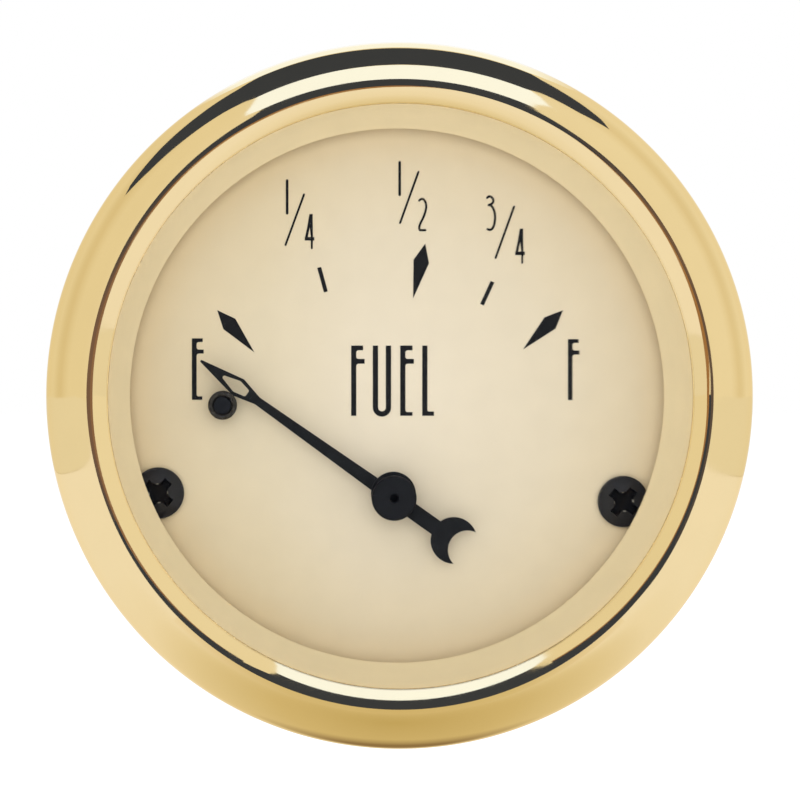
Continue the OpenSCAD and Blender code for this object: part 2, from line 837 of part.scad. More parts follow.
module pointer() {
    hole_r = 0.18;
    hole_half_w = head_half_w - rail_w;
    hole_tip = pointer_l - 3 * head_half_w;
    hole_wide = head_at + 0.15;
    hole_foot = head_foot + 1.3;
    cut_h = pointer_t + 2 * over;
    color(ink) stand() at(pivot) rotate([0, 0, rest_angle])
        translate([0, 0, pointer_back])
            difference() {
                pointer_blank();
                translate([0, 0, -over])
                    linear_extrude(cut_h)
                        hull() {
                            spot(hole_tip, 0, hole_r);
                            spot(hole_wide, hole_half_w - hole_r, hole_r);
                            spot(hole_foot, hole_half_w / 3, hole_r);
                        }
                translate([0, -crescent_at - mouth_shift, -over]) cylinder(r = mouth_r, h = cut_h);
                translate([0, 0, -over]) cylinder(r = spigot_d / 2 + press_gap, h = cut_h);
            }
}

// Tall cap on the pointer, with a lower collar off its centre and a spigot through to the spindle
module pointer_hub() {
    hub_r = hub_d / 2;
    edge_r = 0.25;
    spigot_back = dial_top + 0.4;
    color(ink) stand() at(pivot)
        difference() {
            union() {
                rotate_extrude() {
                    translate([0, spigot_back]) square([spigot_d / 2, hub_top - spigot_back - edge_r]);
                    translate([0, pointer_front]) square([hub_r, hub_top - pointer_front - edge_r]);
                    translate([0, pointer_front]) square([hub_r - edge_r, hub_top - pointer_front]);
                    translate([hub_r - edge_r, hub_top - edge_r]) circle(r = edge_r);
                }
                rotate([0, 0, collar_lean])
                    translate([0, collar_off, pointer_front]) cylinder(r = hub_r, h = collar_step);
            }
            translate([0, 0, dial_top]) cylinder(r = hub_hole_r, h = through);
        }
}

module circuit_board() {
    color("#2f5d3a") stand()
        difference() {
            translate([0, 0, board_back])
                linear_extrude(board_t)
                    intersection() {
                        circle(r = board_r);
                        translate([-board_r, -board_r]) square([2 * board_r, board_r + board_top]);
                    }
            for (p = terminal_places)
                at(p) translate([0, 0, board_back - over]) cylinder(r = terminal_r + press_gap, h = through);
            at(pivot) at_lead_holes()
                translate([0, 0, board_back - over]) cylinder(r = lead_r + press_gap, h = through);
            at(resistor_place) at_resistor_ends()
                translate([0, 0, board_back - over]) cylinder(r = lead_r + press_gap, h = through);
        }
}

// Two leads in each of the bobbin's corner posts that hold no screw
module at_lead_holes() {
    for (side = [-1, 1], step = [-lead_step, lead_step])
        translate([side * corner_at, step - side * corner_at, 0]) children();
}

// Stiff wires from the bobbin to the circuit board
module coil_leads() {
    color(brass) stand() at(pivot) at_lead_holes()
        translate([0, 0, board_back - lead_out])
            cylinder(r = lead_r, h = movement_back + lead_in - board_back + lead_out);
}

module at_resistor_ends() {
    for (side = [-1, 1]) translate([side * resistor_pitch / 2, 0, 0]) children();
}

// Axial resistor lying on the board, with its leads bent down into it
module resistor() {
    centre_z = board_front + resistor_r;
    color("#9c7a52") stand() at(resistor_place) {
        translate([0, 0, centre_z]) rotate([0, 90, 0])
            cylinder(r = resistor_r, h = resistor_l, center = true);
        translate([0, 0, centre_z]) rotate([0, 90, 0])
            cylinder(r = lead_r, h = resistor_pitch, center = true);
        at_resistor_ends() {
            translate([0, 0, centre_z]) sphere(r = lead_r);
            translate([0, 0, board_back - lead_out])
                cylinder(r = lead_r, h = centre_z - board_back + lead_out);
        }
    }
}

// Studs with a head on the board, and a shallow groove behind the outer nut where the free end begins
module terminal_studs() {
    groove_h = 0.2;
    color(brass) stand()
        for (p = terminal_places) at(p) {
            difference() {
                translate([0, 0, body_back - terminal_l])
                    cylinder(r = terminal_r, h = board_front - body_back + terminal_l + over);
                tube(terminal_r - groove_h, terminal_r + over, nuts_back - terminal_groove_w, nuts_back);
            }
            translate([0, 0, board_front]) cylinder(r = terminal_head_r, h = terminal_head_h);
        }
}

// Insulating tubes between the circuit board and the can's rear wall
module terminal_spacers() {
    color("#8b5a2b") stand()
        for (p = terminal_places) at(p)
            tube(terminal_r + washer_gap, terminal_head_r + 0.2, wall_front, board_back);
}

// Insulating washers outside the can, each with a neck through the wall
module terminal_insulators() {
    color("#8b5a2b") stand()
        for (p = terminal_places) at(p) {
            difference() {
                union() {
                    translate([0, 0, insulator_back]) cylinder(r = insulator_r, h = insulator_t);
                    translate([0, 0, insulator_back])
                        cylinder(r = terminal_hole_r - washer_gap, h = insulator_t + can_t);
                }
                translate([0, 0, insulator_back - over]) cylinder(r = terminal_r + washer_gap, h = through);
            }
        }
}

// Each terminal has two sets of washer and nut, one after the other
module at_nut_sets() {
    for (p = terminal_places, n = [0, 1])
        at(p) translate([0, 0, insulator_back - n * nut_pitch]) children();
}

module terminal_washers() {
    color(steel) stand() at_nut_sets()
        tube(terminal_r + washer_gap, terminal_nut_af / 2 - 0.2, -terminal_washer_t, 0);
}

module terminal_nuts() {
    color(brass) stand() at_nut_sets()
        hex_nut(terminal_nut_af, terminal_r + press_gap, -nut_pitch, -terminal_washer_t);
}

module mounting_studs() {
    head_r = stud_r + 1.5;
    head_h = 1.8;
    color(steel) stand()
        for (p = stud_places) at(p) {
            translate([0, 0, body_back - stud_l]) cylinder(r = stud_r, h = stud_l + can_t + over);
            translate([0, 0, wall_front]) cylinder(r = head_r, h = head_h);
        }
}

module mounting_stud_nuts() {
    color(steel) stand()
        for (p = stud_places) at(p)
            hex_nut(stud_nut_af, stud_r + press_gap, body_back - stud_nut_h, body_back);
}

// U-shaped strip: a bridge over the studs, two legs beside the can and turned-out feet
module clamp_outline() {
    out_r = clamp_bend_r + clamp_t;
    leg_outer = leg_inner + clamp_t;
    foot_end = leg_outer + foot_l;
    for (side = [0, 1]) mirror([side, 0]) {
        translate([-over, bridge_back]) square([leg_outer - out_r + over, clamp_t]);
        translate([leg_inner, bridge_back + out_r])
            square([clamp_t, feet_front - bridge_back - 2 * out_r]);
        translate([leg_outer - out_r, bridge_back + out_r])
            intersection() {
                difference() {
                    circle(r = out_r);
                    circle(r = clamp_bend_r);
                }
                translate([0, -out_r]) square(out_r);
            }
        translate([leg_inner + out_r, feet_front - out_r])
            intersection() {
                difference() {
                    circle(r = out_r);
                    circle(r = clamp_bend_r);
                }
                translate([-out_r, 0]) square(out_r);
            }
        translate([leg_inner + out_r, feet_front - clamp_t])
            square([foot_end - leg_inner - out_r, clamp_t]);
    }
}

module clamp_bracket() {
    color(steel) stand()
        difference() {
            rotate([90, 0, 0]) linear_extrude(clamp_w, center = true) clamp_outline();
            for (p = stud_places)
                at(p) translate([0, 0, bridge_back - over])
                    cylinder(r = clamp_hole_d / 2, h = clamp_t + 2 * over);
        }
}

// Split washers, each a flat ring with one narrow cut
module spring_washers() {
    cut_w = 0.6;
    color(dark_steel) stand()
        for (p = stud_places) at(p)
            difference() {
                tube(clamp_hole_d / 2, collar_d / 2, thumb_front, bridge_back);
                translate([0, -cut_w / 2, thumb_front - over])
                    cube([collar_d, cut_w, spring_washer_t + 2 * over]);
            }
}

// Nut with a plain collar and a rim fluted for the fingers
module thumb_nut() {
    flutes = 24;
    flute_r = 0.55;
    flute_at = thumb_d / 2 + 0.22;
    rim_h = thumb_h - collar_h;
    difference() {
        union() {
            translate([0, 0, thumb_front - collar_h]) cylinder(r = collar_d / 2, h = collar_h);
            translate([0, 0, thumb_back]) cylinder(r = thumb_d / 2, h = rim_h);
        }
        for (i = [0 : flutes - 1])
            rotate([0, 0, i * 360 / flutes])
                translate([flute_at, 0, thumb_back - over]) cylinder(r = flute_r, h = rim_h + 2 * over);
        translate([0, 0, thumb_back - over]) cylinder(r = stud_r + thumb_gap, h = thumb_h + 2 * over);
    }
}

module left_thumb_nut() {
    color(brass) stand() at(stud_places[0]) thumb_nut();
}

module right_thumb_nut() {
    color(brass) stand() at(stud_places[1]) thumb_nut();
}

// Push-in moulding: neck in the can's hole, flange behind it, and a grip with two wings
module lamp_holder() {
    wing_w = 2;
    socket_w = wedge_w + 2 * wedge_gap;
    socket_t = wedge_t + 2 * contact_t + 2 * wedge_gap;
    slit_w = contact_w + 2 * press_gap;
    slit_t = contact_t + 2 * press_gap;
    color("#2b2b2d") stand() at(lamp_place)
        difference() {
            union() {
                translate([0, 0, body_back]) cylinder(r = lamp_neck_r, h = lamp_mouth - body_back);
                translate([0, 0, body_back - lamp_flange_t])
                    cylinder(r = lamp_flange_d / 2, h = lamp_flange_t);
                translate([0, 0, lamp_back]) cylinder(r = lamp_grip_d / 2, h = lamp_out);
                translate([-lamp_neck_r, -wing_w / 2, lamp_back]) cube([2 * lamp_neck_r, wing_w, lamp_out]);
            }
            translate([0, 0, bulb_back]) cylinder(r = bulb_bore_r, h = through);
            translate([-socket_w / 2, -socket_t / 2, lamp_floor]) cube([socket_w, socket_t, wedge_l + over]);
            for (side = [-1, 1])
                translate([-slit_w / 2, side * contact_y - slit_t / 2, lamp_back - over])
                    cube([slit_w, slit_t, lamp_floor_t + 2 * over]);
        }
}

// Blades either side of the bulb's wedge, which pass through the floor as tabs
module lamp_contacts() {
    color(brass) stand() at(lamp_place)
        for (side = [-1, 1])
            translate([-contact_w / 2, side * contact_y - contact_t / 2, lamp_back - contact_out])
                cube([contact_w, contact_t, contact_out + lamp_floor_t + wedge_l - 1]);
}

// Glass wedge bulb: a round envelope on a flat base
module lamp_bulb() {
    color("lightyellow", 0.5) stand() at(lamp_place) {
        translate([0, 0, bulb_back])
            rotate_extrude()
                intersection() {
                    union() {
                        square([bulb_r, bulb_l - bulb_r]);
                        translate([0, bulb_l - bulb_r]) circle(r = bulb_r);
                    }
                    square([bulb_r, bulb_l]);
                }
        translate([-wedge_w / 2, -wedge_t / 2, lamp_floor]) cube([wedge_w, wedge_t, wedge_l + over]);
    }
}

bezel();
can();
glass();
glass_gasket();
spacer_ring();
dial();
dial_marks();
dial_screws();
stop_post();
stop_sleeve();
movement_plate();
tie_screws();
upper_bobbin();
lower_bobbin();
inner_coil();
outer_coil();
upper_bearing();
lower_bearing();
shield();
magnet_rotor();
spindle();
pointer();
pointer_hub();
circuit_board();
coil_leads();
resistor();
terminal_studs();
terminal_spacers();
terminal_insulators();
terminal_washers();
terminal_nuts();
mounting_studs();
mounting_stud_nuts();
clamp_bracket();
spring_washers();
left_thumb_nut();
right_thumb_nut();
lamp_holder();
lamp_contacts();
lamp_bulb();
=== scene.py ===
"""Looks of a round fuel gauge: gold bezel, cream dial, black pointer, steel can and brass fittings.

The shared frame is in metres: x to the right, y away from the viewer, z up. Sizes of the pieces made here
are in millimetres, and MM turns them into metres.
"""

import json
import math

import bmesh
import bpy
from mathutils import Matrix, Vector
from mathutils.geometry import delaunay_2d_cdt

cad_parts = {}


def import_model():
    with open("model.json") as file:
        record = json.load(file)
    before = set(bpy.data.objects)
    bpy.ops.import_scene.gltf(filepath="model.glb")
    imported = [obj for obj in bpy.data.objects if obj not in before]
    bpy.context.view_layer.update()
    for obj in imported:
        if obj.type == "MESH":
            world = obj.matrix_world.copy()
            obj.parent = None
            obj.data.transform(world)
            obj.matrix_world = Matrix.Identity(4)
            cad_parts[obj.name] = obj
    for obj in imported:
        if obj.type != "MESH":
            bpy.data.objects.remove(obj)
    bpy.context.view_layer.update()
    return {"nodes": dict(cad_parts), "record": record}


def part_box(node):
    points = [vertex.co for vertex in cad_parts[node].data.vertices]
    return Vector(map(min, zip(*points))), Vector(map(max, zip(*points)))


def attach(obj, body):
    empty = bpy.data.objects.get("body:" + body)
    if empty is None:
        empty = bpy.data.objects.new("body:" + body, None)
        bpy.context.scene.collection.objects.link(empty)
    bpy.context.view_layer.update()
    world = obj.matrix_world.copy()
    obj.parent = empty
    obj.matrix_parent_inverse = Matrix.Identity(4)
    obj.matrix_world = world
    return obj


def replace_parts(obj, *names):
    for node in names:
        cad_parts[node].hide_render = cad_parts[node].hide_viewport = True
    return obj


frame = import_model()
nodes = frame["nodes"]
MM = 0.001


# ---------------------------------------------------------------- shader nodes
def linear(colour):
    """A colour written as it looks on a screen, 0 to 255, as the renderer's own light values."""
    out = []
    for value in colour:
        v = value / 255
        out.append(v / 12.92 if v <= 0.04045 else ((v + 0.055) / 1.055) ** 2.4)
    return out


def shade(colour, amount):
    return [max(0, min(1, c * amount)) for c in colour]


def object_point(tree):
    """The shaded point in the object's own coordinates, in metres."""
    return tree.nodes.new("ShaderNodeTexCoord").outputs["Object"]


def split(tree, vector):
    axes = tree.nodes.new("ShaderNodeSeparateXYZ")
    tree.links.new(vector, axes.inputs[0])
    return axes.outputs


def noise(tree, scale, detail=3.0, rough=0.5, stretch=(1, 1, 1)):
    """Noise in the object's own coordinates; scale is in cycles per metre."""
    mapping = tree.nodes.new("ShaderNodeMapping")
    mapping.inputs["Scale"].default_value = stretch
    texture = tree.nodes.new("ShaderNodeTexNoise")
    texture.inputs["Scale"].default_value = scale
    texture.inputs["Detail"].default_value = detail
    texture.inputs["Roughness"].default_value = rough
    tree.links.new(object_point(tree), mapping.inputs["Vector"])
    tree.links.new(mapping.outputs["Vector"], texture.inputs["Vector"])
    return texture.outputs["Fac"]


def ramp(tree, value, stops):
    """Colours, or grey levels, spread over a value from 0 to 1."""
    node = tree.nodes.new("ShaderNodeValToRGB")
    element = node.color_ramp.elements
    while len(element) < len(stops):
        element.new(0.5)
    for e, (at, colour) in zip(element, stops):
        e.position = at
        rgb = [colour] * 3 if isinstance(colour, (int, float)) else list(colour)
        e.color = rgb + [1]
    tree.links.new(value, node.inputs["Fac"])
    return node.outputs["Color"]


def math_node(tree, operation, *values):
    node = tree.nodes.new("ShaderNodeMath")
    node.operation = operation
    for socket, value in zip(node.inputs, values):
        if isinstance(value, (int, float)):
            socket.default_value = value
        else:
            tree.links.new(value, socket)
    return node.outputs[0]


def hypotenuse(tree, a, b):
    squares = [math_node(tree, "POWER", side, 2) for side in (a, b)]
    return math_node(tree, "SQRT", math_node(tree, "ADD", *squares))


def mix(tree, factor, a, b, blend="MIX"):
    """Two colours mixed. The factor and each colour are a socket or a constant."""
    node = tree.nodes.new("ShaderNodeMix")
    node.data_type = "RGBA"
    node.blend_type = blend
    for name, value in (("Factor", factor), ("A", a), ("B", b)):
        if isinstance(value, bpy.types.NodeSocket):
            tree.links.new(value, node.inputs[name])
        else:
            node.inputs[name].default_value = value
    return node.outputs["Result"]


def multiply(tree, a, b):
    return mix(tree, 1, a, b, "MULTIPLY")


def bump(tree, shader, value, height):
    node = tree.nodes.new("ShaderNodeBump")
    node.inputs["Distance"].default_value = height
    node.inputs["Strength"].default_value = 1
    tree.links.new(value, node.inputs["Height"])
    tree.links.new(node.outputs["Normal"], shader.inputs["Normal"])


# ---------------------------------------------------------------- finishes
# Noise reads from 0 to 1, and most of it lies between these two levels
NOISE_LOW = 0.3
NOISE_HIGH = 0.7


def uneven(tree, value, low, high):
    """A colour or a level that wanders between two ends with a noise."""
    return ramp(tree, value, [(NOISE_LOW, low), (NOISE_HIGH, high)])


def new_material(name):
    material = bpy.data.materials.new(name)
    material.use_nodes = True
    tree = material.node_tree
    return material, tree, tree.nodes["Principled BSDF"]


def surface(
    name,
    colour,
    roughness,
    metallic=0,
    spread=0.06,
    scale=900,
    grain=0.0,
    grain_scale=6000,
    stretch=(1, 1, 1),
    specular=0.5,
    wear=0.04,
    tint=(1, 1, 1),
):
    """A finish with slow changes of tone, uneven gloss and a fine grain.

    Spread is the change of tone and wear the change of roughness, scale and grain_scale are in cycles per
    metre, grain is a height in metres, and tint colours the gloss seen edge on.
    """
    material, tree, shader = new_material(name)
    tone = noise(tree, scale, 4, 0.55, stretch)
    base = linear(colour)
    toned = uneven(tree, tone, shade(base, 1 - spread), shade(base, 1 + spread))
    tree.links.new(toned, shader.inputs["Base Color"])
    shader.inputs["Metallic"].default_value = metallic
    shader.inputs["Specular IOR Level"].default_value = specular
    shader.inputs["Specular Tint"].default_value = list(tint) + [1]
    gloss = noise(tree, scale * 2.3, 3, 0.6, stretch)
    rubbed = uneven(tree, gloss, max(0.01, roughness - wear), min(1, roughness + wear))
    tree.links.new(rubbed, shader.inputs["Roughness"])
    if grain:
        bump(tree, shader, noise(tree, grain_scale, 2, 0.6, stretch), grain)
    return material


def paint_with_painted_light(name, rim, stops, roughness, side_shade=None):
    """Matt paint with painted light and shade: its tone changes with the distance from the gauge's axis,
    as shares of a rim radius.

    It may also have painted shade across it, given as stops from 0 at the left rim to 1 at the right rim.
    """
    material, tree, shader = new_material(name)
    point = object_point(tree)
    flatten = tree.nodes.new("ShaderNodeVectorMath")
    flatten.operation = "MULTIPLY"
    flatten.inputs[1].default_value = (1, 0, 1)
    tree.links.new(point, flatten.inputs[0])
    length = tree.nodes.new("ShaderNodeVectorMath")
    length.operation = "LENGTH"
    tree.links.new(flatten.outputs[0], length.inputs[0])
    # Painted light and shade, by the distance from the axis
    toned = ramp(tree, math_node(tree, "DIVIDE", length.outputs["Value"], rim), stops)
    mixed = multiply(tree, toned, uneven(tree, noise(tree, 420, 4), 0.97, 1.0))
    # Painted shade that changes from the left rim to the right
    if side_shade:
        across = math_node(tree, "MULTIPLY_ADD", split(tree, point)["X"], 0.5 / rim, 0.5)
        mixed = multiply(tree, mixed, ramp(tree, across, side_shade))
    tree.links.new(mixed, shader.inputs["Base Color"])
    shader.inputs["Specular IOR Level"].default_value = 0.3
    rubbed = uneven(tree, noise(tree, 900), roughness - 0.06, roughness + 0.06)
    tree.links.new(rubbed, shader.inputs["Roughness"])
    bump(tree, shader, noise(tree, 7000, 2), 0.000003)
    return material


def glass_material(name, colour, alpha):
    """Clear glass with a faint smear."""
    material, tree, shader = new_material(name)
    shader.inputs["Base Color"].default_value = list(colour) + [1]
    shader.inputs["Metallic"].default_value = 0
    shader.inputs["IOR"].default_value = 1.5
    shader.inputs["Transmission Weight"].default_value = 1
    shader.inputs["Alpha"].default_value = alpha
    smear = ramp(tree, noise(tree, 120, 3, 0.6), [(0.4, 0.0), (0.8, 0.03)])
    tree.links.new(smear, shader.inputs["Roughness"])
    return material


def board_material():
    """Green lacquer over a woven laminate, whose paler threads show between."""
    material, tree, shader = new_material("board_resin")
    weave = tree.nodes.new("ShaderNodeTexBrick")
    weave.inputs["Scale"].default_value = 260
    weave.inputs["Color1"].default_value = linear((38, 96, 52)) + [1]
    weave.inputs["Color2"].default_value = linear((33, 86, 46)) + [1]
    weave.inputs["Mortar"].default_value = linear((84, 136, 76)) + [1]
    weave.inputs["Mortar Size"].default_value = 0.03
    tree.links.new(object_point(tree), weave.inputs["Vector"])
    tree.links.new(weave.outputs["Color"], shader.inputs["Base Color"])
    tree.links.new(uneven(tree, noise(tree, 1500), 0.25, 0.4), shader.inputs["Roughness"])
    return material


def winding_material():
    """Close turns of lacquered copper wire."""
    material, tree, shader = new_material("copper_wire")
    wave = tree.nodes.new("ShaderNodeTexWave")
    wave.inputs["Scale"].default_value = 1400
    wave.inputs["Distortion"].default_value = 0.6
    tree.links.new(object_point(tree), wave.inputs["Vector"])
    turns = [(0.1, linear((92, 40, 18))), (0.8, linear((196, 110, 62)))]
    tree.links.new(ramp(tree, wave.outputs["Fac"], turns), shader.inputs["Base Color"])
    shader.inputs["Metallic"].default_value = 0.8
    shader.inputs["Roughness"].default_value = 0.35
    bump(tree, shader, wave.outputs["Fac"], 0.00008)
    return material


# Radii of the dial inside the spacer ring and of the spacer ring inside the bezel, in metres, with the
# paint's tones out to them. The dial's paint is darker and yellower towards its rim: painted shade and
# painted bounce light under the spacer ring. It is also darker on its left: painted shade.
DIAL_RIM = 0.0252
DIAL_SHADE_STOPS = [
    (0.15, linear((234, 221, 196))),
    (0.6, linear((229, 215, 187))),
    (0.87, linear((228, 211, 177))),
    (1.0, linear((231, 209, 167))),
]
DIAL_SIDE_SHADE = [(0.02, (0.985, 0.975, 0.94)), (0.25, (0.975, 0.965, 0.92)), (0.42, (1, 1, 1))]
SPACER_RIM = 0.0274
CREAM = linear((230, 210, 166))
# The spacer ring's paint grows lighter out to the bezel: painted light against the shade under the bezel's
# lip
SPACER_LIGHT_STOPS = [
    (0.94, CREAM),
    (0.974, shade(CREAM, 1.05)),
    (0.987, shade(CREAM, 1.1)),
    (0.998, shade(CREAM, 1.19)),
]
# What gold reflects when seen edge on, and a warm tint for the gloss of black pieces
GOLD_EDGE = (0.95, 0.86, 0.68)
WARM_GLOSS = (1, 0.86, 0.66)

SURFACES = {
    "gold_plate": dict(
        colour=(235, 209, 154), roughness=0.045, metallic=1, spread=0.012, scale=160,
        grain=0.0000008, grain_scale=700, wear=0.03, tint=GOLD_EDGE,
    ),
    "zinc_steel": dict(
        colour=(196, 191, 178), roughness=0.36, metallic=1, spread=0.07, scale=420,
        grain=0.000004, grain_scale=2600, wear=0.06,
    ),
    "brass": dict(
        colour=(214, 178, 104), roughness=0.3, metallic=1, spread=0.05, scale=700,
        grain=0.000002, grain_scale=3000, wear=0.05,
    ),
    "black_rubber": dict(
        colour=(27, 28, 29), roughness=0.3, spread=0.15, grain=0.000006, grain_scale=5000,
        wear=0.1, tint=WARM_GLOSS,
    ),
    "black_ink": dict(
        colour=(24, 24, 26), roughness=0.7, spread=0.12, scale=2500, grain=0.000003,
        grain_scale=8000, specular=0.15,
    ),
    "black_steel": dict(
        colour=(36, 37, 40), roughness=0.36, spread=0.1, scale=1500, grain=0.000003,
        specular=0.2, tint=WARM_GLOSS,
    ),
    # Dark, dull steel; on the spindle's end it is painted shade deep in the hub's hole
    "dark_steel_and_hole_shade": dict(
        colour=(24, 26, 30), roughness=0.45, spread=0.1, scale=1500, grain=0.000002,
        grain_scale=5000, specular=0.1,
    ),
    # Painted shade for the screws' cross recesses
    "recess_painted_shade": dict(
        colour=(7, 7, 8), roughness=0.6, spread=0.3, scale=2500, grain=0.000002, specular=0.1,
    ),
    # Painted glints for the screws' recess corners, pale as a softbox's reflection
    "painted_glint": dict(
        colour=(196, 190, 174), roughness=0.45, spread=0.25, scale=3500, grain=0.000002,
    ),
    "pointer_paint": dict(
        colour=(24, 25, 27), roughness=0.6, spread=0.1, scale=1600, grain=0.000003,
        grain_scale=7000, specular=0.12,
    ),
    "black_plastic": dict(
        colour=(22, 23, 26), roughness=0.5, spread=0.08, scale=1200, grain=0.000003,
        specular=0.12,
    ),
    "bobbin_plastic": dict(
        colour=(60, 64, 70), roughness=0.5, spread=0.08, grain=0.000004, grain_scale=5000,
    ),
    "magnet": dict(
        colour=(74, 75, 80), roughness=0.45, metallic=0.6, spread=0.12, scale=1200,
        grain=0.000006, grain_scale=5000,
    ),
    "brown_fibre": dict(
        colour=(128, 84, 52), roughness=0.6, spread=0.15, scale=1400, grain=0.000008,
        grain_scale=5000, stretch=(1, 1, 4),
    ),
    "resistor_body": dict(
        colour=(196, 168, 124), roughness=0.4, grain=0.000004, grain_scale=5000,
    ),
}
finish = {name: surface(name, **values) for name, values in SURFACES.items()}
finish["clear_glass"] = glass_material("clear_glass", (0.97, 1, 0.99), 0.12)
finish["bulb_glass"] = glass_material("bulb_glass", (1, 0.98, 0.92), 0.5)
# The spacer ring's paint, with painted light towards its rim
finish["cream_paint"] = paint_with_painted_light("cream_paint", SPACER_RIM, SPACER_LIGHT_STOPS, 0.62)
# The dial's paint, with painted shade towards its rim and on its left
finish["dial_paint"] = paint_with_painted_light("dial_paint", DIAL_RIM, DIAL_SHADE_STOPS, 0.66, DIAL_SIDE_SHADE)
finish["copper_wire"] = winding_material()
finish["board_resin"] = board_material()

slot_of = {s["node"]: s["material_slot"] for s in frame["record"]["subparts"]}


def dress(obj, slot):
    obj.data.materials.clear()
    obj.data.materials.append(finish[slot])


for node_name, node_object in nodes.items():
    dress(node_object, slot_of[node_name])
# The spindle's end, deep in the hub's hole, is painted dark as the hole's shade, and the stop's post is
# dark and dull
for node_name in ("spindle", "stop_post"):
    nodes[node_name].data.materials[0] = finish["dark_steel_and_hole_shade"]


# ---------------------------------------------------------------- meshes
def add_mesh(name, vertices, faces, slot, body, sharp=None):
    """A new piece. With an angle given it is smooth, apart from edges that bend more than that."""
    mesh = bpy.data.meshes.new(name)
    mesh.from_pydata(vertices, [], faces)
    work = bmesh.new()
    work.from_mesh(mesh)
    bmesh.ops.recalc_face_normals(work, faces=work.faces)
    work.to_mesh(mesh)
    work.free()
    obj = bpy.data.objects.new(name, mesh)
    bpy.context.scene.collection.objects.link(obj)
    dress(obj, slot)
    if sharp is not None:
        mesh.shade_smooth()
        mesh.set_sharp_from_angle(angle=sharp)
    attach(obj, body)
    return obj


def turn(i, steps):
    """The angle of one of some even steps round a circle."""
    return 2 * math.pi * i / steps


def arc(centre, radius, start, end, steps):
    """Points on an arc of a section; angles in degrees from straight out."""
    out = []
    for i in range(steps + 1):
        a = math.radians(start + (end - start) * i / steps)
        out.append((centre[0] + radius * math.cos(a), centre[1] + radius * math.sin(a)))
    return out


def lathe(name, section, steps, slot, sharp, centre=(0, 0)):
    """A closed section turned into one smooth ring, round the gauge's axis or one beside it.

    The section runs across from its axis and forward of the panel, and the centre is in metres.
    """
    n = len(section)
    vertices, faces = [], []
    for i in range(steps):
        a = turn(i, steps)
        for r, z in section:
            across, up = r * MM * math.sin(a), r * MM * math.cos(a)
            vertices.append((centre[0] + across, -z * MM, centre[1] + up))
    for i in range(steps):
        j = (i + 1) % steps
        for k in range(n):
            m = (k + 1) % n
            faces.append([i * n + k, i * n + m, j * n + m, j * n + k])
    return add_mesh(name, vertices, faces, slot, "gauge", sharp)


# ---------------------------------------------------------------- print on the dial
# The dial's face is the lowest y of its node
dial_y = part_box("dial")[0].y
INK_BACK = -0.01
INK_FRONT = 0.03


def on_dial(x, up, height):
    """A point given in millimetres across, up and above the dial's face, in the shared frame."""
    return Vector((x * MM, dial_y - height * MM, up * MM))


def cross(a, b, x, y):
    """Above 0 where the point lies to the left of the edge from a to b."""
    return (b[0] - a[0]) * (y - a[1]) - (b[1] - a[1]) * (x - a[0])


class Ink:
    """Flat printed shapes. Overlapping outlines are joined, then made into one thin closed slab."""

    def __init__(self):
        self.outlines = []

    def slab(self, outline):
        """One convex outline, as points across and up."""
        edges = zip(outline, outline[1:] + outline[:1])
        area = sum(a[0] * b[1] - b[0] * a[1] for a, b in edges)
        self.outlines.append(list(outline) if area > 0 else list(reversed(outline)))

    def bar(self, left, low, right, high):
        self.slab([(left, low), (right, low), (right, high), (left, high)])

    def fillet(self, x, up, radius, side, rise):
        """A hollow rounded corner that opens to the given side and rise, each -1 or 1."""
        steps = 5
        overlap = 0.01
        curve = []
        for i in range(steps + 1):
            t = math.pi / 2 * i / steps
            across = side * radius * (1 - math.cos(t))
            curve.append((x + across, up + rise * radius * (1 - math.sin(t))))
        for a, b in zip(curve, curve[1:]):
            self.slab([(x - side * overlap, up - rise * overlap), a, b])

    def line(self, path, width, round_ends=True):
        """A pen stroke of even width along a path."""
        half = width / 2
        sides = 16
        for (x0, y0), (x1, y1) in zip(path, path[1:]):
            length = math.hypot(x1 - x0, y1 - y0)
            nx, ny = -(y1 - y0) / length * half, (x1 - x0) / length * half
            start = [(x0 + nx, y0 + ny), (x0 - nx, y0 - ny)]
            self.slab(start + [(x1 - nx, y1 - ny), (x1 + nx, y1 + ny)])
        for x, y in path if round_ends else path[1:-1]:
            angles = [turn(k, sides) for k in range(sides)]
            self.slab([(x + half * math.cos(a), y + half * math.sin(a)) for a in angles])

    def curve(self, points, width):
        """A pen stroke along a smooth curve (Catmull-Rom) through the points."""
        steps = 6
        path = []
        ends = [points[0]] + list(points) + [points[-1]]
        for quad in zip(ends, ends[1:], ends[2:], ends[3:]):
            for i in range(steps):
                t = i / steps
                place = []
                for a, b, c, d in zip(*quad):
                    square = 2 * a - 5 * b + 4 * c - d
                    cube = 3 * b - a - 3 * c + d
                    place.append(0.5 * (2 * b + (c - a) * t + square * t**2 + cube * t**3))
                path.append(tuple(place))
        path.append(points[-1])
        self.line(path, width)

    def covers(self, x, y):
        """Whether a point lies in any of the outlines, which run anticlockwise."""
        for outline in self.outlines:
            if all(cross(a, b, x, y) >= 0 for a, b in zip(outline, outline[1:] + outline[:1])):
                return True
        return False

    def covers_cell(self, flat, cell):
        n = len(cell)
        return self.covers(sum(flat[i].x for i in cell) / n, sum(flat[i].y for i in cell) / n)

    def piece(self, name):
        points, faces = [], []
        for outline in self.outlines:
            faces.append(list(range(len(points), len(points) + len(outline))))
            points += [Vector(p) for p in outline]
        flat, _, cells, _, _, _ = delaunay_2d_cdt(points, [], faces, 1, 1e-4)
        cells = [cell for cell in cells if self.covers_cell(flat, cell)]
        n = len(flat)
        vertices = [on_dial(p.x, p.y, height) for height in (INK_FRONT, INK_BACK) for p in flat]
        uses = {}
        for cell in cells:
            for i, a in enumerate(cell):
                b = cell[(i + 1) % len(cell)]
                uses.setdefault((min(a, b), max(a, b)), []).append((a, b))
        rims = [found[0] for found in uses.values() if len(found) == 1]
        solid = [list(cell) for cell in cells]
        solid += [[n + i for i in reversed(cell)] for cell in cells]
        solid += [[b, a, n + a, n + b] for a, b in rims]
        return add_mesh(name, vertices, solid, "black_ink", "gauge")


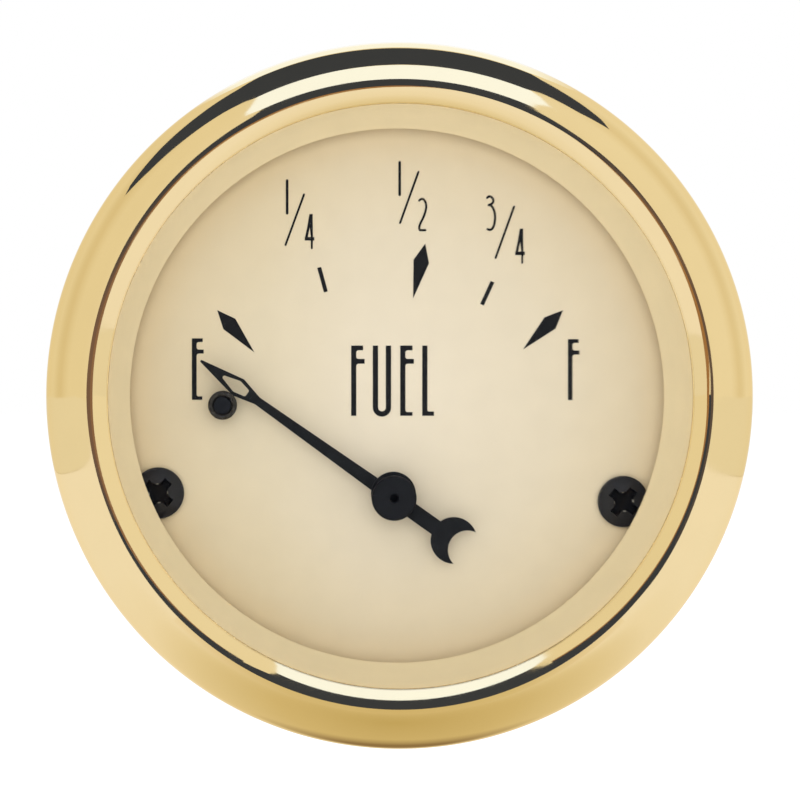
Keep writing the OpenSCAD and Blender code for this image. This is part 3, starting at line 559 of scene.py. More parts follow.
def letter_e(
    ink, left, top, bottom, stem, top_arm, middle_top, middle_low, middle_arm, arm_t,
    low_arm=0, foot_t=0,
):
    """A tall narrow E, or an F without its lowest arm.

    Arm values are how far each arm reaches to the right of the stem's left edge.
    """
    ink.bar(left, bottom, left + stem, top)
    ink.bar(left, top - arm_t, left + top_arm, top)
    ink.bar(left, middle_low, left + middle_arm, middle_top)
    corner = left + stem
    ink.fillet(corner, top - arm_t, 0.22, 1, -1)
    ink.fillet(corner, middle_top, 0.2, 1, 1)
    ink.fillet(corner, middle_low, 0.22, 1, -1)
    if low_arm:
        ink.bar(left, bottom, left + low_arm, bottom + foot_t)
        ink.fillet(corner, bottom + foot_t, 0.2, 1, 1)


def letter_u(ink, left, right, top, bottom, stroke):
    """A tall narrow U, whose bend reaches a little below the line."""
    overshoot = 0.08
    steps = 20
    centre = (left + right) / 2
    bend_up = bottom - overshoot + (right - left) / 2
    ink.bar(left, bend_up, left + stroke, top)
    ink.bar(right - stroke, bend_up, right, top)
    radius = (right - left - stroke) / 2
    angles = [math.pi + k * math.pi / steps for k in range(steps + 1)]
    bend = [(centre + radius * math.cos(a), bend_up + radius * math.sin(a)) for a in angles]
    ink.line(bend, stroke, round_ends=False)


def figure_four(ink, x, up):
    """A narrow 4 whose apex is at (x, up). Its two strokes part at the fork and leave an opening."""
    foot = up - 3.3
    bar_low, bar_high = up - 2.5, up - 2.17
    fork = up - 1.25
    ink.slab([(x - 0.15, up), (x + 0.16, up), (x + 0.17, fork), (x - 0.36, fork)])
    ink.slab([(x - 0.36, fork), (x - 0.12, fork), (x - 0.3, bar_high), (x - 0.55, bar_high)])
    ink.slab([(x - 0.12, fork), (x + 0.17, fork), (x + 0.19, bar_high), (x - 0.02, bar_high)])
    ink.bar(x - 0.59, bar_low, x + 0.32, bar_high)
    ink.slab([(x - 0.02, bar_low), (x + 0.18, bar_low), (x + 0.16, foot), (x - 0.01, foot)])


def letters():
    empty = Ink()
    letter_e(
        empty, left=-19.58, top=5.4, bottom=-0.4, stem=0.45, top_arm=1.03, middle_top=4.34,
        middle_low=3.97, middle_arm=1.12, arm_t=0.34, low_arm=0.98, foot_t=0.33,
    )
    empty.piece("letter_empty")

    full = Ink()
    letter_e(
        full, left=15.93, top=5.32, bottom=-0.43, stem=0.43, top_arm=1.01, middle_top=4.25,
        middle_low=3.87, middle_arm=1.09, arm_t=0.34,
    )
    full.piece("letter_full")


def word():
    top, bottom = 4.72, -1.91
    arms = dict(top=top, bottom=bottom, middle_top=3.46, middle_low=3.01, arm_t=0.44)
    ink = Ink()
    letter_e(ink, left=-4.55, stem=0.48, top_arm=1.13, middle_arm=1.27, **arms)
    letter_u(ink, left=-2.51, right=-0.78, top=top, bottom=bottom, stroke=0.5)
    letter_e(
        ink, left=0.08, stem=0.49, top_arm=1.16, middle_arm=1.29, low_arm=1.16, foot_t=0.35, **arms
    )
    l_left, l_stem, l_reach, l_foot = 2.16, 2.65, 3.27, 0.4
    ink.bar(l_left, bottom, l_stem, top)
    ink.bar(l_left, bottom, l_reach, bottom + l_foot)
    ink.fillet(l_stem, bottom + l_foot, 0.15, 1, 1)
    ink.piece("word_fuel")


# Widths of the fractions' strokes, and the curves of their figures
ONE_W = 0.25
SLASH_W = 0.2
TWO_W = 0.21
THREE_W = 0.22
TWO = [
    (1.88, 18.41), (2.1, 18.56), (2.35, 18.45), (2.52, 18.06), (2.5, 17.54), (2.27, 16.82),
    (1.98, 16.25), (1.88, 15.85), (1.94, 15.61),
]
TWO_FOOT = [(1.94, 15.61), (2.45, 15.61)]
THREE_TOP = [(8.3, 18.67), (8.46, 18.8), (8.7, 18.73), (8.87, 18.45), (8.78, 18.15), (8.44, 17.98)]
THREE_LOW = [
    (8.44, 17.98), (8.7, 17.9), (8.94, 17.47), (9.04, 16.9), (8.98, 16.25), (8.82, 15.82),
    (8.59, 15.64), (8.33, 15.71),
]


def fractions():
    quarter = Ink()
    quarter.line([(-10.59, 20.28), (-10.59, 17.2)], ONE_W)
    quarter.line([(-9.0, 18.96), (-10.74, 14.22)], SLASH_W)
    figure_four(quarter, -8.34, 17.13)
    quarter.piece("fraction_quarter")

    half = Ink()
    half.line([(0.03, 22.02), (0.03, 18.95)], ONE_W)
    half.line([(1.8, 21.1), (0.07, 16.3)], SLASH_W)
    half.curve(TWO, TWO_W)
    half.line(TWO_FOOT, TWO_W)
    half.piece("fraction_half")

    three = Ink()
    three.curve(THREE_TOP, THREE_W)
    three.curve(THREE_LOW, THREE_W)
    three.line([(10.83, 17.83), (9.09, 13.0)], SLASH_W)
    figure_four(three, 11.53, 15.76)
    three.piece("fraction_three_quarters")


# The scale's marks as in the solid, a little bolder where the ink has spread. Each is given by its
# clockwise angle round the pointer's axis, the distance of its inner end from that axis, and its own lean.
PIVOT = (-0.56, -9.6)
KITES = [(-43.8, 19.1, 2.5), (5.7, 19.0, 6.8), (41.3, 18.7, 4.3)]
TICKS = [(-18.2, 20.5, 3), (24.7, 20.1, 0)]
KITE = [(0, -0.14), (0.75, 3.43), (0, 5.16), (-0.75, 3.43)]
TICK = [(-0.19, -0.09), (0.19, -0.09), (0.19, 2.3), (-0.19, 2.3)]


def mark_outline(mark, shape):
    angle, distance, lean = mark
    a, t = math.radians(angle), math.radians(angle + lean)
    foot_x, foot_up = PIVOT[0] + distance * math.sin(a), PIVOT[1] + distance * math.cos(a)
    out = []
    for x, y in shape:
        across = foot_x + x * math.cos(t) + y * math.sin(t)
        out.append((across, foot_up - x * math.sin(t) + y * math.cos(t)))
    return out


def marks():
    ink = Ink()
    for shape, places in ((KITE, KITES), (TICK, TICKS)):
        for place in places:
            ink.slab(mark_outline(place, shape))
    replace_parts(ink.piece("dial_mark_ink"), "dial_marks")


letters()
word()
fractions()
marks()

# ---------------------------------------------------------------- bezel
# Sizes of the bezel's section, as in the solid: across from the axis, and forward of the panel
BEZEL_R = 33.2
BEZEL_DEPTH = 9.5
BEZEL_T = 0.6
HEM_R = 29.6
SHOULDER_R = 4.26
OPENING_R = 27.3
GLASS_FRONT = 8.196
# The inner slope leaves the crest at this angle and flattens its curve at this radius
SLOPE_LEAN = math.radians(12)
SLOPE_R = 8.45
# The rounded lip round the window, and how far its two ends are lifted
LIP_R = 0.12
LIP_LIFT_OUT = 0.03
LIP_LIFT_IN = 0.02
BEZEL_STEPS = 360
BEZEL_SHARP = math.radians(5)


def bezel_section():
    crest_r = BEZEL_R - SHOULDER_R
    shoulder = (crest_r, BEZEL_DEPTH - SHOULDER_R)
    end = math.asin((crest_r - OPENING_R) / SLOPE_R + math.sin(SLOPE_LEAN))
    centre = (
        crest_r + SLOPE_R * math.sin(SLOPE_LEAN),
        BEZEL_DEPTH - SLOPE_R * math.cos(SLOPE_LEAN),
    )
    slope_start, slope_end = 90 + math.degrees(SLOPE_LEAN), 90 + math.degrees(end)
    slope = arc(centre, SLOPE_R, slope_start, slope_end, 12)
    lip_r, lip_z = slope[-1]
    points = [(HEM_R, 0.0)]
    points += arc((BEZEL_R - BEZEL_T, BEZEL_T), BEZEL_T, -90, 0, 24)
    points += arc(shoulder, SHOULDER_R, 0, 90, 60)
    points += slope[1:-1]
    points += [(lip_r + LIP_R, lip_z + LIP_LIFT_OUT)]
    points += arc((OPENING_R + LIP_R, lip_z - LIP_R + LIP_LIFT_IN), LIP_R, 100, 180, 10)
    points += [(OPENING_R, GLASS_FRONT), (OPENING_R + BEZEL_T, GLASS_FRONT)]
    points += [(OPENING_R + BEZEL_T, lip_z - BEZEL_T)]
    points += arc(shoulder, SHOULDER_R - BEZEL_T, 90, 0, 24)
    points += [(BEZEL_R - BEZEL_T, BEZEL_T), (HEM_R, BEZEL_T)]
    return points


bezel_ring = lathe("bezel_ring", bezel_section(), BEZEL_STEPS, "gold_plate", BEZEL_SHARP)
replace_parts(bezel_ring, "bezel")

# ---------------------------------------------------------------- stop and dial screws
# The stop's soft sleeve, with a waist that the pointer's edge lies in and a groove round the post
SLEEVE_R = 1.36
SLEEVE_BEAD = 0.24
WAIST_R = 1.275
WAIST_ROOM = 0.05
WAIST_EASE = 0.07
GROOVE_OUT_R = 0.98
GROOVE_DEPTH = 0.9
GROOVE_EDGE = 0.04
POST_R = 0.79
SLEEVE_STEPS = 96
EDGE_ANGLE = math.radians(35)


def stop_sleeve():
    low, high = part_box("stop_sleeve")
    top, foot = -low.y / MM, -high.y / MM
    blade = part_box("pointer")
    waist_low, waist_high = -blade[1].y / MM - WAIST_ROOM, -blade[0].y / MM + WAIST_ROOM
    section = [(POST_R, foot), (SLEEVE_R, foot), (SLEEVE_R, waist_low - WAIST_EASE)]
    section += [(WAIST_R, waist_low), (WAIST_R, waist_high), (SLEEVE_R, waist_high + WAIST_EASE)]
    section += arc((SLEEVE_R - SLEEVE_BEAD, top - SLEEVE_BEAD), SLEEVE_BEAD, 0, 100, 10)
    section += [(GROOVE_OUT_R, top - GROOVE_EDGE), (GROOVE_OUT_R, top - GROOVE_DEPTH)]
    section += [(POST_R, top - GROOVE_DEPTH)]
    centre = ((low.x + high.x) / 2, (low.z + high.z) / 2)
    sleeve = lathe("stop_sleeve_soft", section, SLEEVE_STEPS, "black_rubber", EDGE_ANGLE, centre)
    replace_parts(sleeve, "stop_sleeve")


stop_sleeve()

# The dial screws: head, dome, shank, and a cross recess with pressed-in corners
SCREW_R = 2.42
SCREW_H = 1.3
DOME_H = 0.91
SHANK_R = 0.95
RECESS_HALF_W = 0.42
RECESS_REACH = 1.47
RECESS_CORNER = 1.3
RECESS_H = 0.8
RECESS_WALL = 0.12
RECESS_TURN = math.radians(50)
SCREW_STEPS = 180
# Radii of the head's rings: close in the recess, wider towards the edge
SCREW_RINGS = [0.04 * i for i in range(1, 41)] + [1.7, 1.85, 2.0, 2.15, 2.28, 2.36, SCREW_R]
# Slots of a screw's painted shade in its recess and of the painted glints on its pressed corners, and
# where those glints are painted
RECESS_SHADE_SLOT = 1
GLINT_SLOT = 2
GLINT_DEPTH = 0.75
GLINT_HALF_W = 0.2


def recess_axes(r, a):
    """A place on the head along the two arms of its recess."""
    return r * math.cos(a - RECESS_TURN), r * math.sin(a - RECESS_TURN)


def recess_depth(u, v):
    """How far the point is sunk below the dome, from 0 to 1; u and v run along the recess's arms."""
    along, across = max(abs(u), abs(v)), min(abs(u), abs(v))
    arm = min(RECESS_HALF_W - across, RECESS_REACH - along)
    inside = max(arm, (RECESS_CORNER - along - across) / math.sqrt(2))
    return max(0, min(1, inside / RECESS_WALL))


def screw(vertices, faces, special, x, up, end):
    """One dial screw as a closed shell. The faces of its recess, painted in shade, and of its corners,
    with painted glints, go into special.
    """
    dome_r = (SCREW_R**2 + DOME_H**2) / (2 * DOME_H)
    base = len(vertices)
    bottom = SCREW_H - RECESS_H
    vertices.append(on_dial(x, up, bottom))
    rings = []

    def ring(r, height_at):
        places = []
        for i in range(SCREW_STEPS):
            a = turn(i, SCREW_STEPS)
            places.append(len(vertices))
            vertices.append(on_dial(x + r * math.cos(a), up + r * math.sin(a), height_at(a)))
        rings.append(places)

    for r in SCREW_RINGS:
        dome = SCREW_H - (dome_r - math.sqrt(dome_r**2 - r * r))
        ring(r, lambda a: max(dome - RECESS_H * recess_depth(*recess_axes(r, a)), bottom))
    for r, height in ((SCREW_R, 0), (SHANK_R, 0), (SHANK_R, end)):
        ring(r, lambda a: height)
    last = len(vertices)
    vertices.append(on_dial(x, up, end))
    for i in range(SCREW_STEPS):
        j = (i + 1) % SCREW_STEPS
        # The head's middle lies in the recess, painted in shade
        special.append((len(faces), RECESS_SHADE_SLOT))
        faces.append([base, rings[0][i], rings[0][j]])
        faces.append([last, rings[-1][j], rings[-1][i]])
    for k, (inner, outer) in enumerate(zip(rings, rings[1:])):
        for i in range(SCREW_STEPS):
            j = (i + 1) % SCREW_STEPS
            if k < len(SCREW_RINGS) - 1:
                middle_r = (SCREW_RINGS[k] + SCREW_RINGS[k + 1]) / 2
                u, v = recess_axes(middle_r, turn(i + 0.5, SCREW_STEPS))
                depth = recess_depth(u, v)
                if depth > 0.05:
                    # A face in the recess is painted in shade, and near a corner's top edge it gets a
                    # painted glint
                    glint = depth < GLINT_DEPTH and abs(abs(u) - abs(v)) < GLINT_HALF_W
                    special.append((len(faces), GLINT_SLOT if glint else RECESS_SHADE_SLOT))
            faces.append([inner[i], outer[i], outer[j], inner[j]])


def dial_screws():
    low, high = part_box("dial_screws")
    vertices, faces, special = [], [], []
    end = (dial_y - high.y) / MM
    screw(vertices, faces, special, low.x / MM + SCREW_R, high.z / MM - SCREW_R, end)
    screw(vertices, faces, special, high.x / MM - SCREW_R, low.z / MM + SCREW_R, end)
    obj = add_mesh("dial_screw_heads", vertices, faces, "black_steel", "gauge", EDGE_ANGLE)
    # The recess is painted in shade
    obj.data.materials.append(finish["recess_painted_shade"])
    # Glints are painted on the recess's corners
    obj.data.materials.append(finish["painted_glint"])
    for i, index in special:
        obj.data.polygons[i].material_index = index
    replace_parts(obj, "dial_screws")


dial_screws()

# ---------------------------------------------------------------- studs
# Threads of the studs and terminals, and the free end's bevel
PITCH = 0.794
THREAD_H = 0.36
THREAD_FLANK = 1.15
BEVEL = 0.4
STUD_SIDES = 36
RINGS_PER_TURN = 6
THREAD_ANGLE = math.radians(40)
# Threads start at the can's back. Heads are (radius, height), and the groove runs between two depths.
CAN_BACK = 38.0
TERMINAL_R = 2.085
TERMINAL_HEAD = (3.0, 1.6)
GROOVE_R = 1.885
GROOVE = (47.2, 47.8)
MOUNTING_R = 2.41
MOUNTING_HEAD = (3.91, 1.8)


def stud(vertices, faces, x, up, sections):
    """One stud as a closed shell. Sections are (from, to, radius, threaded), behind the panel."""
    end = sections[-1][1]
    rings = []

    def ring(back, radius, threaded):
        places = []
        for i in range(STUD_SIDES):
            a = turn(i, STUD_SIDES)
            r = radius
            if threaded:
                phase = (back / PITCH - i / STUD_SIDES) % 1
                r -= THREAD_H * min(1, THREAD_FLANK * (1 - abs(2 * phase - 1)))
                r = min(r, radius - BEVEL + max(0, end - back))
            places.append(len(vertices))
            vertices.append(Vector((x + r * math.cos(a), back, up + r * math.sin(a))) * MM)
        rings.append(places)

    for start, stop, radius, threaded in sections:
        steps = max(1, round((stop - start) / PITCH * RINGS_PER_TURN)) if threaded else 1
        for k in range(steps + 1):
            ring(start + (stop - start) * k / steps, radius, threaded)
    caps = []
    for back in (sections[0][0], end):
        caps.append(len(vertices))
        vertices.append(Vector((x, back, up)) * MM)
    for i in range(STUD_SIDES):
        j = (i + 1) % STUD_SIDES
        faces.append([caps[0], rings[0][j], rings[0][i]])
        faces.append([caps[1], rings[-1][i], rings[-1][j]])
        for a, b in zip(rings, rings[1:]):
            faces.append([a[i], a[j], b[j], b[i]])


def stud_set(name, node, slot, places, head, radius, thread):
    """Studs at places across and up. The thread's sections follow a plain head and shank."""
    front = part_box(node)[0].y / MM
    head_r, head_h = head
    shank = [(front, front + head_h, head_r, False), (front + head_h, CAN_BACK, radius, False)]
    vertices, faces = [], []
    for x, up in places:
        stud(vertices, faces, x, up, shank + thread)
    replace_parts(add_mesh(name, vertices, faces, slot, "gauge", THREAD_ANGLE), node)


def terminals():
    low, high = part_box("terminal_studs")
    end, head_r = high.y / MM, TERMINAL_HEAD[0]
    left, right = low.x / MM + head_r, high.x / MM - head_r
    top, bottom = high.z / MM - head_r, low.z / MM + head_r
    places = [(left, top), ((left + right) / 2, bottom), (right, top)]
    thread = [
        (CAN_BACK, GROOVE[0], TERMINAL_R, True),
        (*GROOVE, GROOVE_R, False),
        (GROOVE[1], end, TERMINAL_R, True),
    ]
    stud_set(
        "terminal_threads", "terminal_studs", "brass", places, TERMINAL_HEAD, TERMINAL_R, thread
    )


def mounting_studs():
    low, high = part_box("mounting_studs")
    head_r = MOUNTING_HEAD[0]
    up = (low.z + high.z) / 2 / MM
    places = [(low.x / MM + head_r, up), (high.x / MM - head_r, up)]
    thread = [(CAN_BACK, high.y / MM, MOUNTING_R, True)]
    stud_set(
        "mounting_threads", "mounting_studs", "zinc_steel", places, MOUNTING_HEAD, MOUNTING_R, thread
    )


terminals()
mounting_studs()

# ---------------------------------------------------------------- filament
# The bulb's wires, how far apart and how far into the bulb they stand, and the coil between them
WIRE_R = 0.11
WIRE_SIDES = 8
WIRE_SPREAD = 2.0
WIRE_REACH = 8.5
WIRE_LEAN = 0.3
FOOT_BACK = 3
KNEE_AHEAD = 2
WEDGE_L = 6.5
COIL_R = 0.38
COIL_WIRE_R = WIRE_R * 0.6
COIL_TURNS = 9
COIL_STEPS = 10
COIL_HALF_L = WIRE_SPREAD - 0.55
COIL_BACK = 0.3


def wire(vertices, faces, path, radius):
    """A round wire along a path of points, closed at both ends."""
    rings = []
    side = None
    for k, point in enumerate(path):
        ahead = (path[min(k + 1, len(path) - 1)] - path[max(k - 1, 0)]).normalized()
        if side is None:
            side = ahead.orthogonal().normalized()
        side = (side - ahead * side.dot(ahead)).normalized()
        across = ahead.cross(side)
        ring = []
        for i in range(WIRE_SIDES):
            a = turn(i, WIRE_SIDES)
            ring.append(len(vertices))
            vertices.append((point + (side * math.cos(a) + across * math.sin(a)) * radius) * MM)
        rings.append(ring)
    for a, b in zip(rings, rings[1:]):
        for i in range(WIRE_SIDES):
            j = (i + 1) % WIRE_SIDES
            faces.append([a[i], a[j], b[j], b[i]])
    faces.append(rings[0][::-1])
    faces.append(rings[-1])


def filament():
    low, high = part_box("lamp_bulb")
    x, up = (low.x + high.x) / 2 / MM, (low.z + high.z) / 2 / MM
    neck = high.y / MM - WEDGE_L
    tip = neck - WIRE_REACH
    vertices, faces = [], []
    for side in (-1, 1):
        foot = Vector((x + side * WIRE_SPREAD, neck + FOOT_BACK, up))
        knee = Vector((x + side * WIRE_SPREAD, neck - KNEE_AHEAD, up))
        end = Vector((x + side * (WIRE_SPREAD - WIRE_LEAN), tip, up))
        wire(vertices, faces, [foot, knee, end], WIRE_R)
    coil = []
    steps = COIL_TURNS * COIL_STEPS
    for k in range(steps + 1):
        a = 2 * math.pi * COIL_TURNS * k / steps
        across = x - COIL_HALF_L + 2 * COIL_HALF_L * k / steps
        back = tip + COIL_BACK + COIL_R * math.cos(a)
        coil.append(Vector((across, back, up + COIL_R * math.sin(a))))
    wire(vertices, faces, coil, COIL_WIRE_R)
    add_mesh("bulb_filament", vertices, faces, "zinc_steel", "bulb", math.radians(180))


filament()

# ---------------------------------------------------------------- stage
# The floor's height and half its side, in metres, how much it glows by itself, and the even light round
# the object
FLOOR_Z = -0.052
FLOOR_HALF = 3.0
FLOOR_CORNERS = [(-1, -1), (1, -1), (1, 1), (-1, 1)]
FLOOR_GLOW = 0.42
AMBIENT = 0.80
# Light as polished surfaces see it: floor out from under the gauge, with the gauge's shadow and its gold's
# bounce light painted on near it, walls left and right, softbox and dark screens
WARM_SHADOW_STOPS = [
    (0.0, (0.65, 0.57, 0.32)),
    (0.2, (0.76, 0.69, 0.47)),
    (0.38, (0.90, 0.87, 0.76)),
    (0.56, (1.02, 1.04, 1.10)),
    (0.8, (1.05, 1.09, 1.22)),
]
UNDER_SHADOW_STOPS = [(0.3, (0.42, 0.36, 0.34)), (0.95, (1, 1, 1))]
EDGE_STOPS = [(0.835, (1, 1, 1)), (0.845, (0.75, 0.7, 0.6)), (0.855, (0.9, 0.88, 0.78))]
# Reaches of the three patches of the floor above, in metres, with the y that the first two start from
# and how much they are stretched or pressed along y
WARM_REACH, WARM_Y, WARM_STRETCH = 0.1, -0.03, 0.55
UNDER_REACH, UNDER_Y, UNDER_STRETCH = 0.025, 0.014, 1.3
EDGE_REACH = 0.25
WALL_LEFT = (0.94, 0.93, 0.85)
WALL_RIGHT = (0.99, 1.0, 0.98)
WALL_BAND = [
    (0.24, (1, 1, 1)),
    (0.35, (0.95, 0.93, 0.88)),
    (0.44, (0.90, 0.86, 0.77)),
    (0.53, (0.91, 0.88, 0.80)),
    (0.70, (1, 1, 1)),
]
SOFT_LIGHT = (1.18, 1.45, 2.2)
DARK_SCREEN = (0.05, 0.065, 0.12)
# Stops along a card are a place in metres and a colour. The dark screen is browner at its sides, level
# with the gauge, and a brown fringe lies along its reflection.
BROWN_LEFT = [
    (-0.036, DARK_SCREEN),
    (-0.016, (0.21, 0.145, 0.15)),
    (0.014, (0.21, 0.145, 0.15)),
    (0.034, (0.10, 0.09, 0.12)),
    (0.06, DARK_SCREEN),
]
BROWN_RIGHT = [
    (-0.05, DARK_SCREEN),
    (-0.01, (0.12, 0.105, 0.13)),
    (0.014, (0.16, 0.125, 0.135)),
    (0.034, (0.20, 0.145, 0.14)),
    (0.05, (0.12, 0.10, 0.125)),
    (0.078, DARK_SCREEN),
]
FRINGE_STOPS = [
    (-0.024, (0.28, 0.18, 0.15)),
    (-0.013, (0.42, 0.25, 0.13)),
    (0.024, (0.40, 0.23, 0.12)),
]
REAR_STOPS = [(-0.275, WALL_LEFT), (-0.2, SOFT_LIGHT), (0.175, SOFT_LIGHT), (0.265, WALL_RIGHT)]
# A warm, darker strip below the bezel that only polished surfaces see: a painted reflection of the gauge's
# shadow on the floor, with its gold's bounce light
LOW_SHADOW_STOPS = [
    (-0.024, (1.02, 1.03, 1.08)),
    (-0.019, (0.93, 0.89, 0.82)),
    (-0.013, (0.80, 0.74, 0.54)),
    (0, (0.76, 0.68, 0.45)),
    (0.013, (0.80, 0.74, 0.54)),
    (0.019, (0.93, 0.89, 0.82)),
    (0.024, (1.02, 1.03, 1.08)),
]


def stage_mesh(name, corners, material):
    mesh = bpy.data.meshes.new(name)
    mesh.from_pydata(corners, [], [list(range(len(corners)))])
    obj = bpy.data.objects.new(name, mesh)
    bpy.context.scene.collection.objects.link(obj)
    mesh.materials.append(material)
    return obj


def stage_material(name):
    material = bpy.data.materials.new(name)
    material.use_nodes = True
    tree = material.node_tree
    tree.nodes.clear()
    return material, tree, tree.nodes.new("ShaderNodeOutputMaterial").inputs["Surface"]


def emission(tree, colour, strength=1.0):
    node = tree.nodes.new("ShaderNodeEmission")
    if isinstance(colour, tuple):
        node.inputs["Color"].default_value = colour + (1,)
    else:
        tree.links.new(colour, node.inputs["Color"])
    node.inputs["Strength"].default_value = strength
    return node.outputs[0]


def floor_material():
    """White to the camera and darker only under the object. Polished surfaces see a painted shadow of the
    gauge, warm and darker near it and darkest right under it, then white, and the side walls' light beyond
    the edges of the white sweep."""
    material, tree, out = stage_material("white_floor")
    path = tree.nodes.new("ShaderNodeLightPath")
    place = split(tree, object_point(tree))
    aside = math_node(tree, "ABSOLUTE", place["X"])

    def patch(start_y, stretch, reach, stops):
        along = math_node(tree, "MULTIPLY", math_node(tree, "ADD", place["Y"], -start_y), stretch)
        away = hypotenuse(tree, aside, along)
        return ramp(tree, math_node(tree, "MULTIPLY", away, 1 / reach), stops)

    # Painted shadow of the gauge with its gold's bounce light, and a painted contact shadow under it
    warm_shadow = patch(WARM_Y, WARM_STRETCH, WARM_REACH, WARM_SHADOW_STOPS)
    shadow = patch(UNDER_Y, UNDER_STRETCH, UNDER_REACH, UNDER_SHADOW_STOPS)
    wall = ramp(tree, math_node(tree, "MULTIPLY", aside, 1 / EDGE_REACH), EDGE_STOPS)
    seen = multiply(tree, multiply(tree, warm_shadow, shadow), wall)
    plain = tree.nodes.new("ShaderNodeBsdfDiffuse")
    plain.inputs["Color"].default_value = (0.8, 0.8, 0.8, 1)
    both = tree.nodes.new("ShaderNodeAddShader")
    tree.links.new(plain.outputs[0], both.inputs[0])
    tree.links.new(emission(tree, (1, 1, 1), FLOOR_GLOW), both.inputs[1])
    choose = tree.nodes.new("ShaderNodeMixShader")
    tree.links.new(path.outputs["Is Glossy Ray"], choose.inputs[0])
    tree.links.new(both.outputs[0], choose.inputs[1])
    tree.links.new(emission(tree, seen), choose.inputs[2])
    tree.links.new(choose.outputs[0], out)
    return material


def card(name, corners, colour, axis="X"):
    """A studio card that only polished surfaces see. Its corners are in millimetres, and its colour is
    one colour or a list of stops along an axis."""
    material, tree, out = stage_material(name)
    if isinstance(colour, list):
        along = math_node(tree, "ADD", split(tree, object_point(tree))[axis], 0.5)
        colour = ramp(tree, along, [(at + 0.5, c) for at, c in colour])
    tree.links.new(emission(tree, colour), out)
    obj = stage_mesh(name, [[c * MM for c in corner] for corner in corners], material)
    for kind in ("camera", "diffuse", "transmission", "shadow", "volume_scatter"):
        setattr(obj, "visible_" + kind, False)


def world():
    """White to the camera, an even soft light on the object, and two different walls for metal."""
    studio = bpy.data.worlds.new("studio")
    bpy.context.scene.world = studio
    studio.use_nodes = True
    tree = studio.node_tree
    path = tree.nodes.new("ShaderNodeLightPath").outputs
    axes = split(tree, tree.nodes.new("ShaderNodeTexCoord").outputs["Generated"])

    def along(axis):
        """A direction's share of an axis, from 0 to 1."""
        return math_node(tree, "ADD", math_node(tree, "MULTIPLY", axes[axis], 0.5), 0.5)

    walls = ramp(tree, along("X"), [(0.3, WALL_LEFT), (0.7, WALL_RIGHT)])
    white = math_node(tree, "MAXIMUM", path["Is Camera Ray"], path["Is Transmission Ray"])
    plain = mix(tree, white, (AMBIENT, AMBIENT, AMBIENT, 1), (1, 1, 1, 1))
    band = multiply(tree, walls, ramp(tree, along("Y"), WALL_BAND))
    seen = mix(tree, path["Is Glossy Ray"], plain, band)
    tree.links.new(seen, tree.nodes["Background"].inputs["Color"])


def lamp(name, place, target, size, watts):
    """A soft lamp at a place, turned to a target, both in metres."""
    light = bpy.data.lights.new(name, "AREA")
    light.shape = "RECTANGLE"
    light.size, light.size_y = size
    light.energy = watts
    obj = bpy.data.objects.new(name, light)
    bpy.context.scene.collection.objects.link(obj)
    obj.location = place
    toward = Vector(target) - Vector(place)
    obj.rotation_euler = toward.to_track_quat("-Z", "Y").to_euler()
    obj.visible_glossy = False


world()
corners = [(x * FLOOR_HALF, y * FLOOR_HALF, FLOOR_Z) for x, y in FLOOR_CORNERS]
stage_mesh("floor", corners, floor_material())
lamp("key", (-0.05, -1.1, 0.28), (0, 0, 0), (0.9, 0.5), 2.4)
lamp("back", (0.2, 0.8, 0.7), (0, 0.03, 0), (0.8, 0.8), 3.0)

# Cards before the gauge, at one y, as corners across and up
SCREEN_Y = -330
SOFTBOX = [
    (-236, 512), (-153, 315), (-114, 220), (-88, 170), (-66, 148), (74, 140), (108, 207), (161, 289),
    (215, 426), (247, 538),
]
DARK_LEFT = [
    (-32, 147), (-66, 148), (-62, 137), (-53, 109), (-63, 84), (-84, 47), (-93, -4), (-60, -71),
    (-32, -81),
]
DARK_MIDDLE = [(8, 145), (-32, 147), (-32, -81), (8, -94), (50, -74), (50, 142)]
DARK_RIGHT = [
    (50, 142), (74, 140), (61, 106), (65, 84), (82, 71), (90, 42), (91, -4), (70, -65), (50, -74),
]
for card_name, places, card_colour in (
    ("softbox", SOFTBOX, SOFT_LIGHT),
    ("dark_screen_left", DARK_LEFT, BROWN_LEFT),
    ("dark_screen_middle", DARK_MIDDLE, DARK_SCREEN),
    ("dark_screen_right", DARK_RIGHT, BROWN_RIGHT),
):
    card(card_name, [(x, SCREEN_Y, up) for x, up in places], card_colour, "Z")

# Cards above the gauge, as corners across and back
FLAG_UP = 400
FLAG = [
    (-547, -50), (-439, -164), (-329, -204), (-242, -212), (-205, -232), (-187, -270), (10, -239),
    (175, -255), (200, -193), (265, -182), (329, -79), (306, 14), (264, 59), (226, 90), (191, 138),
    (175, 196), (10, 186), (-170, 237), (-205, 158), (-284, 116), (-380, 95), (-508, 30),
]
card("overhead_flag", [(x, y, FLAG_UP) for x, y in FLAG], DARK_SCREEN)
REAR_UP = FLAG_UP + 5
REAR = [
    (-275, 700), (-245, 420), (-215, 310), (-178, 250), (0, 225), (172, 215), (205, 270), (240, 400),
    (265, 700), (310, 1500), (-320, 1500),
]
card("rear_light", [(x, y, REAR_UP) for x, y in REAR], REAR_STOPS)

STRIP_Y = -20
STRIP_STEPS = 120


def strip(name, start, end, inner, outer, colour):
    """A card on an arc just before the bezel, between two clockwise angles from straight up. The radii
    are listed at even steps from end to end."""
    edges = []
    for radii in (inner, outer):
        edge = []
        for i in range(STRIP_STEPS + 1):
            at = i / STRIP_STEPS * (len(radii) - 1)
            k = min(int(at), len(radii) - 2)
            r = radii[k] + (radii[k + 1] - radii[k]) * (at - k)
            a = math.radians(start + (end - start) * i / STRIP_STEPS)
            edge.append((r * math.sin(a), STRIP_Y, r * math.cos(a)))
        edges.append(edge)
    card(name, edges[0] + edges[1][::-1], colour)


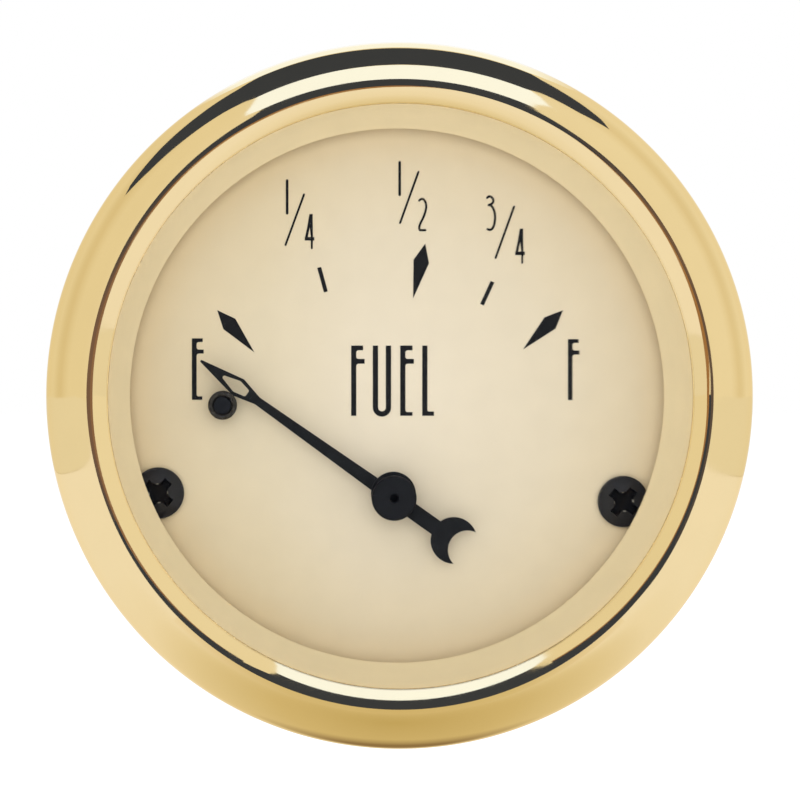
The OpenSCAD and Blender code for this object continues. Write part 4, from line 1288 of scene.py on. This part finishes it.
LOW_SCREEN_IN = [28.9, 28.9]
LOW_SCREEN_OUT = [30.6, 30.9, 31.15, 31.3, 31.35, 31.3, 31.2, 31.1, 31.0]
LOW_SHADOW_IN = [31.1, 31.35, 31.15]
LOW_SHADOW_OUT = [34.05, 34.3, 34.7]
FRINGE_IN = [
    23.85, 23.98, 24.08, 24.0, 23.75, 23.8, 24.07, 24.1, 24.15, 24.17, 24.3, 24.85, 24.82, 24.65,
    24.65, 24.2, 23.65, 23.95, 23.85, 23.6, 23.05,
]
# The fringe reaches the inner dark line's edge, but near its two ends dark strips lie between
INNER_DARK = 25.7
FRINGE_START = [23.85, 24.3, 24.6]
FRINGE_END = [24.5, 24.3, 24.2, 23.95, 23.4]
FRINGE_OUT = FRINGE_START + [INNER_DARK] * 13 + FRINGE_END
strip("low_screen", 118, 246, LOW_SCREEN_IN, LOW_SCREEN_OUT, DARK_SCREEN)
# Painted reflection of the floor's shadow under the gauge
strip("low_floor_shadow", 135, 225, LOW_SHADOW_IN, LOW_SHADOW_OUT, LOW_SHADOW_STOPS)
strip("fringe", 210, 510, FRINGE_IN, FRINGE_OUT, FRINGE_STOPS)
strip("inner_dark_left", 210, 240, FRINGE_START, [INNER_DARK, INNER_DARK], DARK_SCREEN)
strip("inner_dark_right", 450, 510, FRINGE_END, [INNER_DARK, INNER_DARK], DARK_SCREEN)

# ---------------------------------------------------------------- camera
# Its distance from the target in metres, how far it stands to the left and above, and its focal length
# in pixels of an image that is PIXELS wide
CAMERA_TARGET = Vector((0.00006, -0.0027, -0.00042))
CAMERA_DISTANCE = 0.500
CAMERA_LEFT = math.radians(1.35)
CAMERA_UP = math.radians(0.8)
FOCAL_PIXELS = 5295
PIXELS = 800
SENSOR_MM = 36.0


def place_camera():
    toward = Vector((
        -math.sin(CAMERA_LEFT) * math.cos(CAMERA_UP),
        -math.cos(CAMERA_LEFT) * math.cos(CAMERA_UP),
        math.sin(CAMERA_UP),
    ))
    data = bpy.data.cameras.new("camera")
    data.sensor_width = SENSOR_MM
    data.lens = FOCAL_PIXELS / PIXELS * SENSOR_MM
    camera = bpy.data.objects.new("camera", data)
    bpy.context.scene.collection.objects.link(camera)
    camera.location = CAMERA_TARGET + toward * CAMERA_DISTANCE
    camera.rotation_euler = (-toward).to_track_quat("-Z", "Y").to_euler()
    bpy.context.scene.camera = camera


place_camera()
bpy.context.scene.view_settings.view_transform = "Standard"
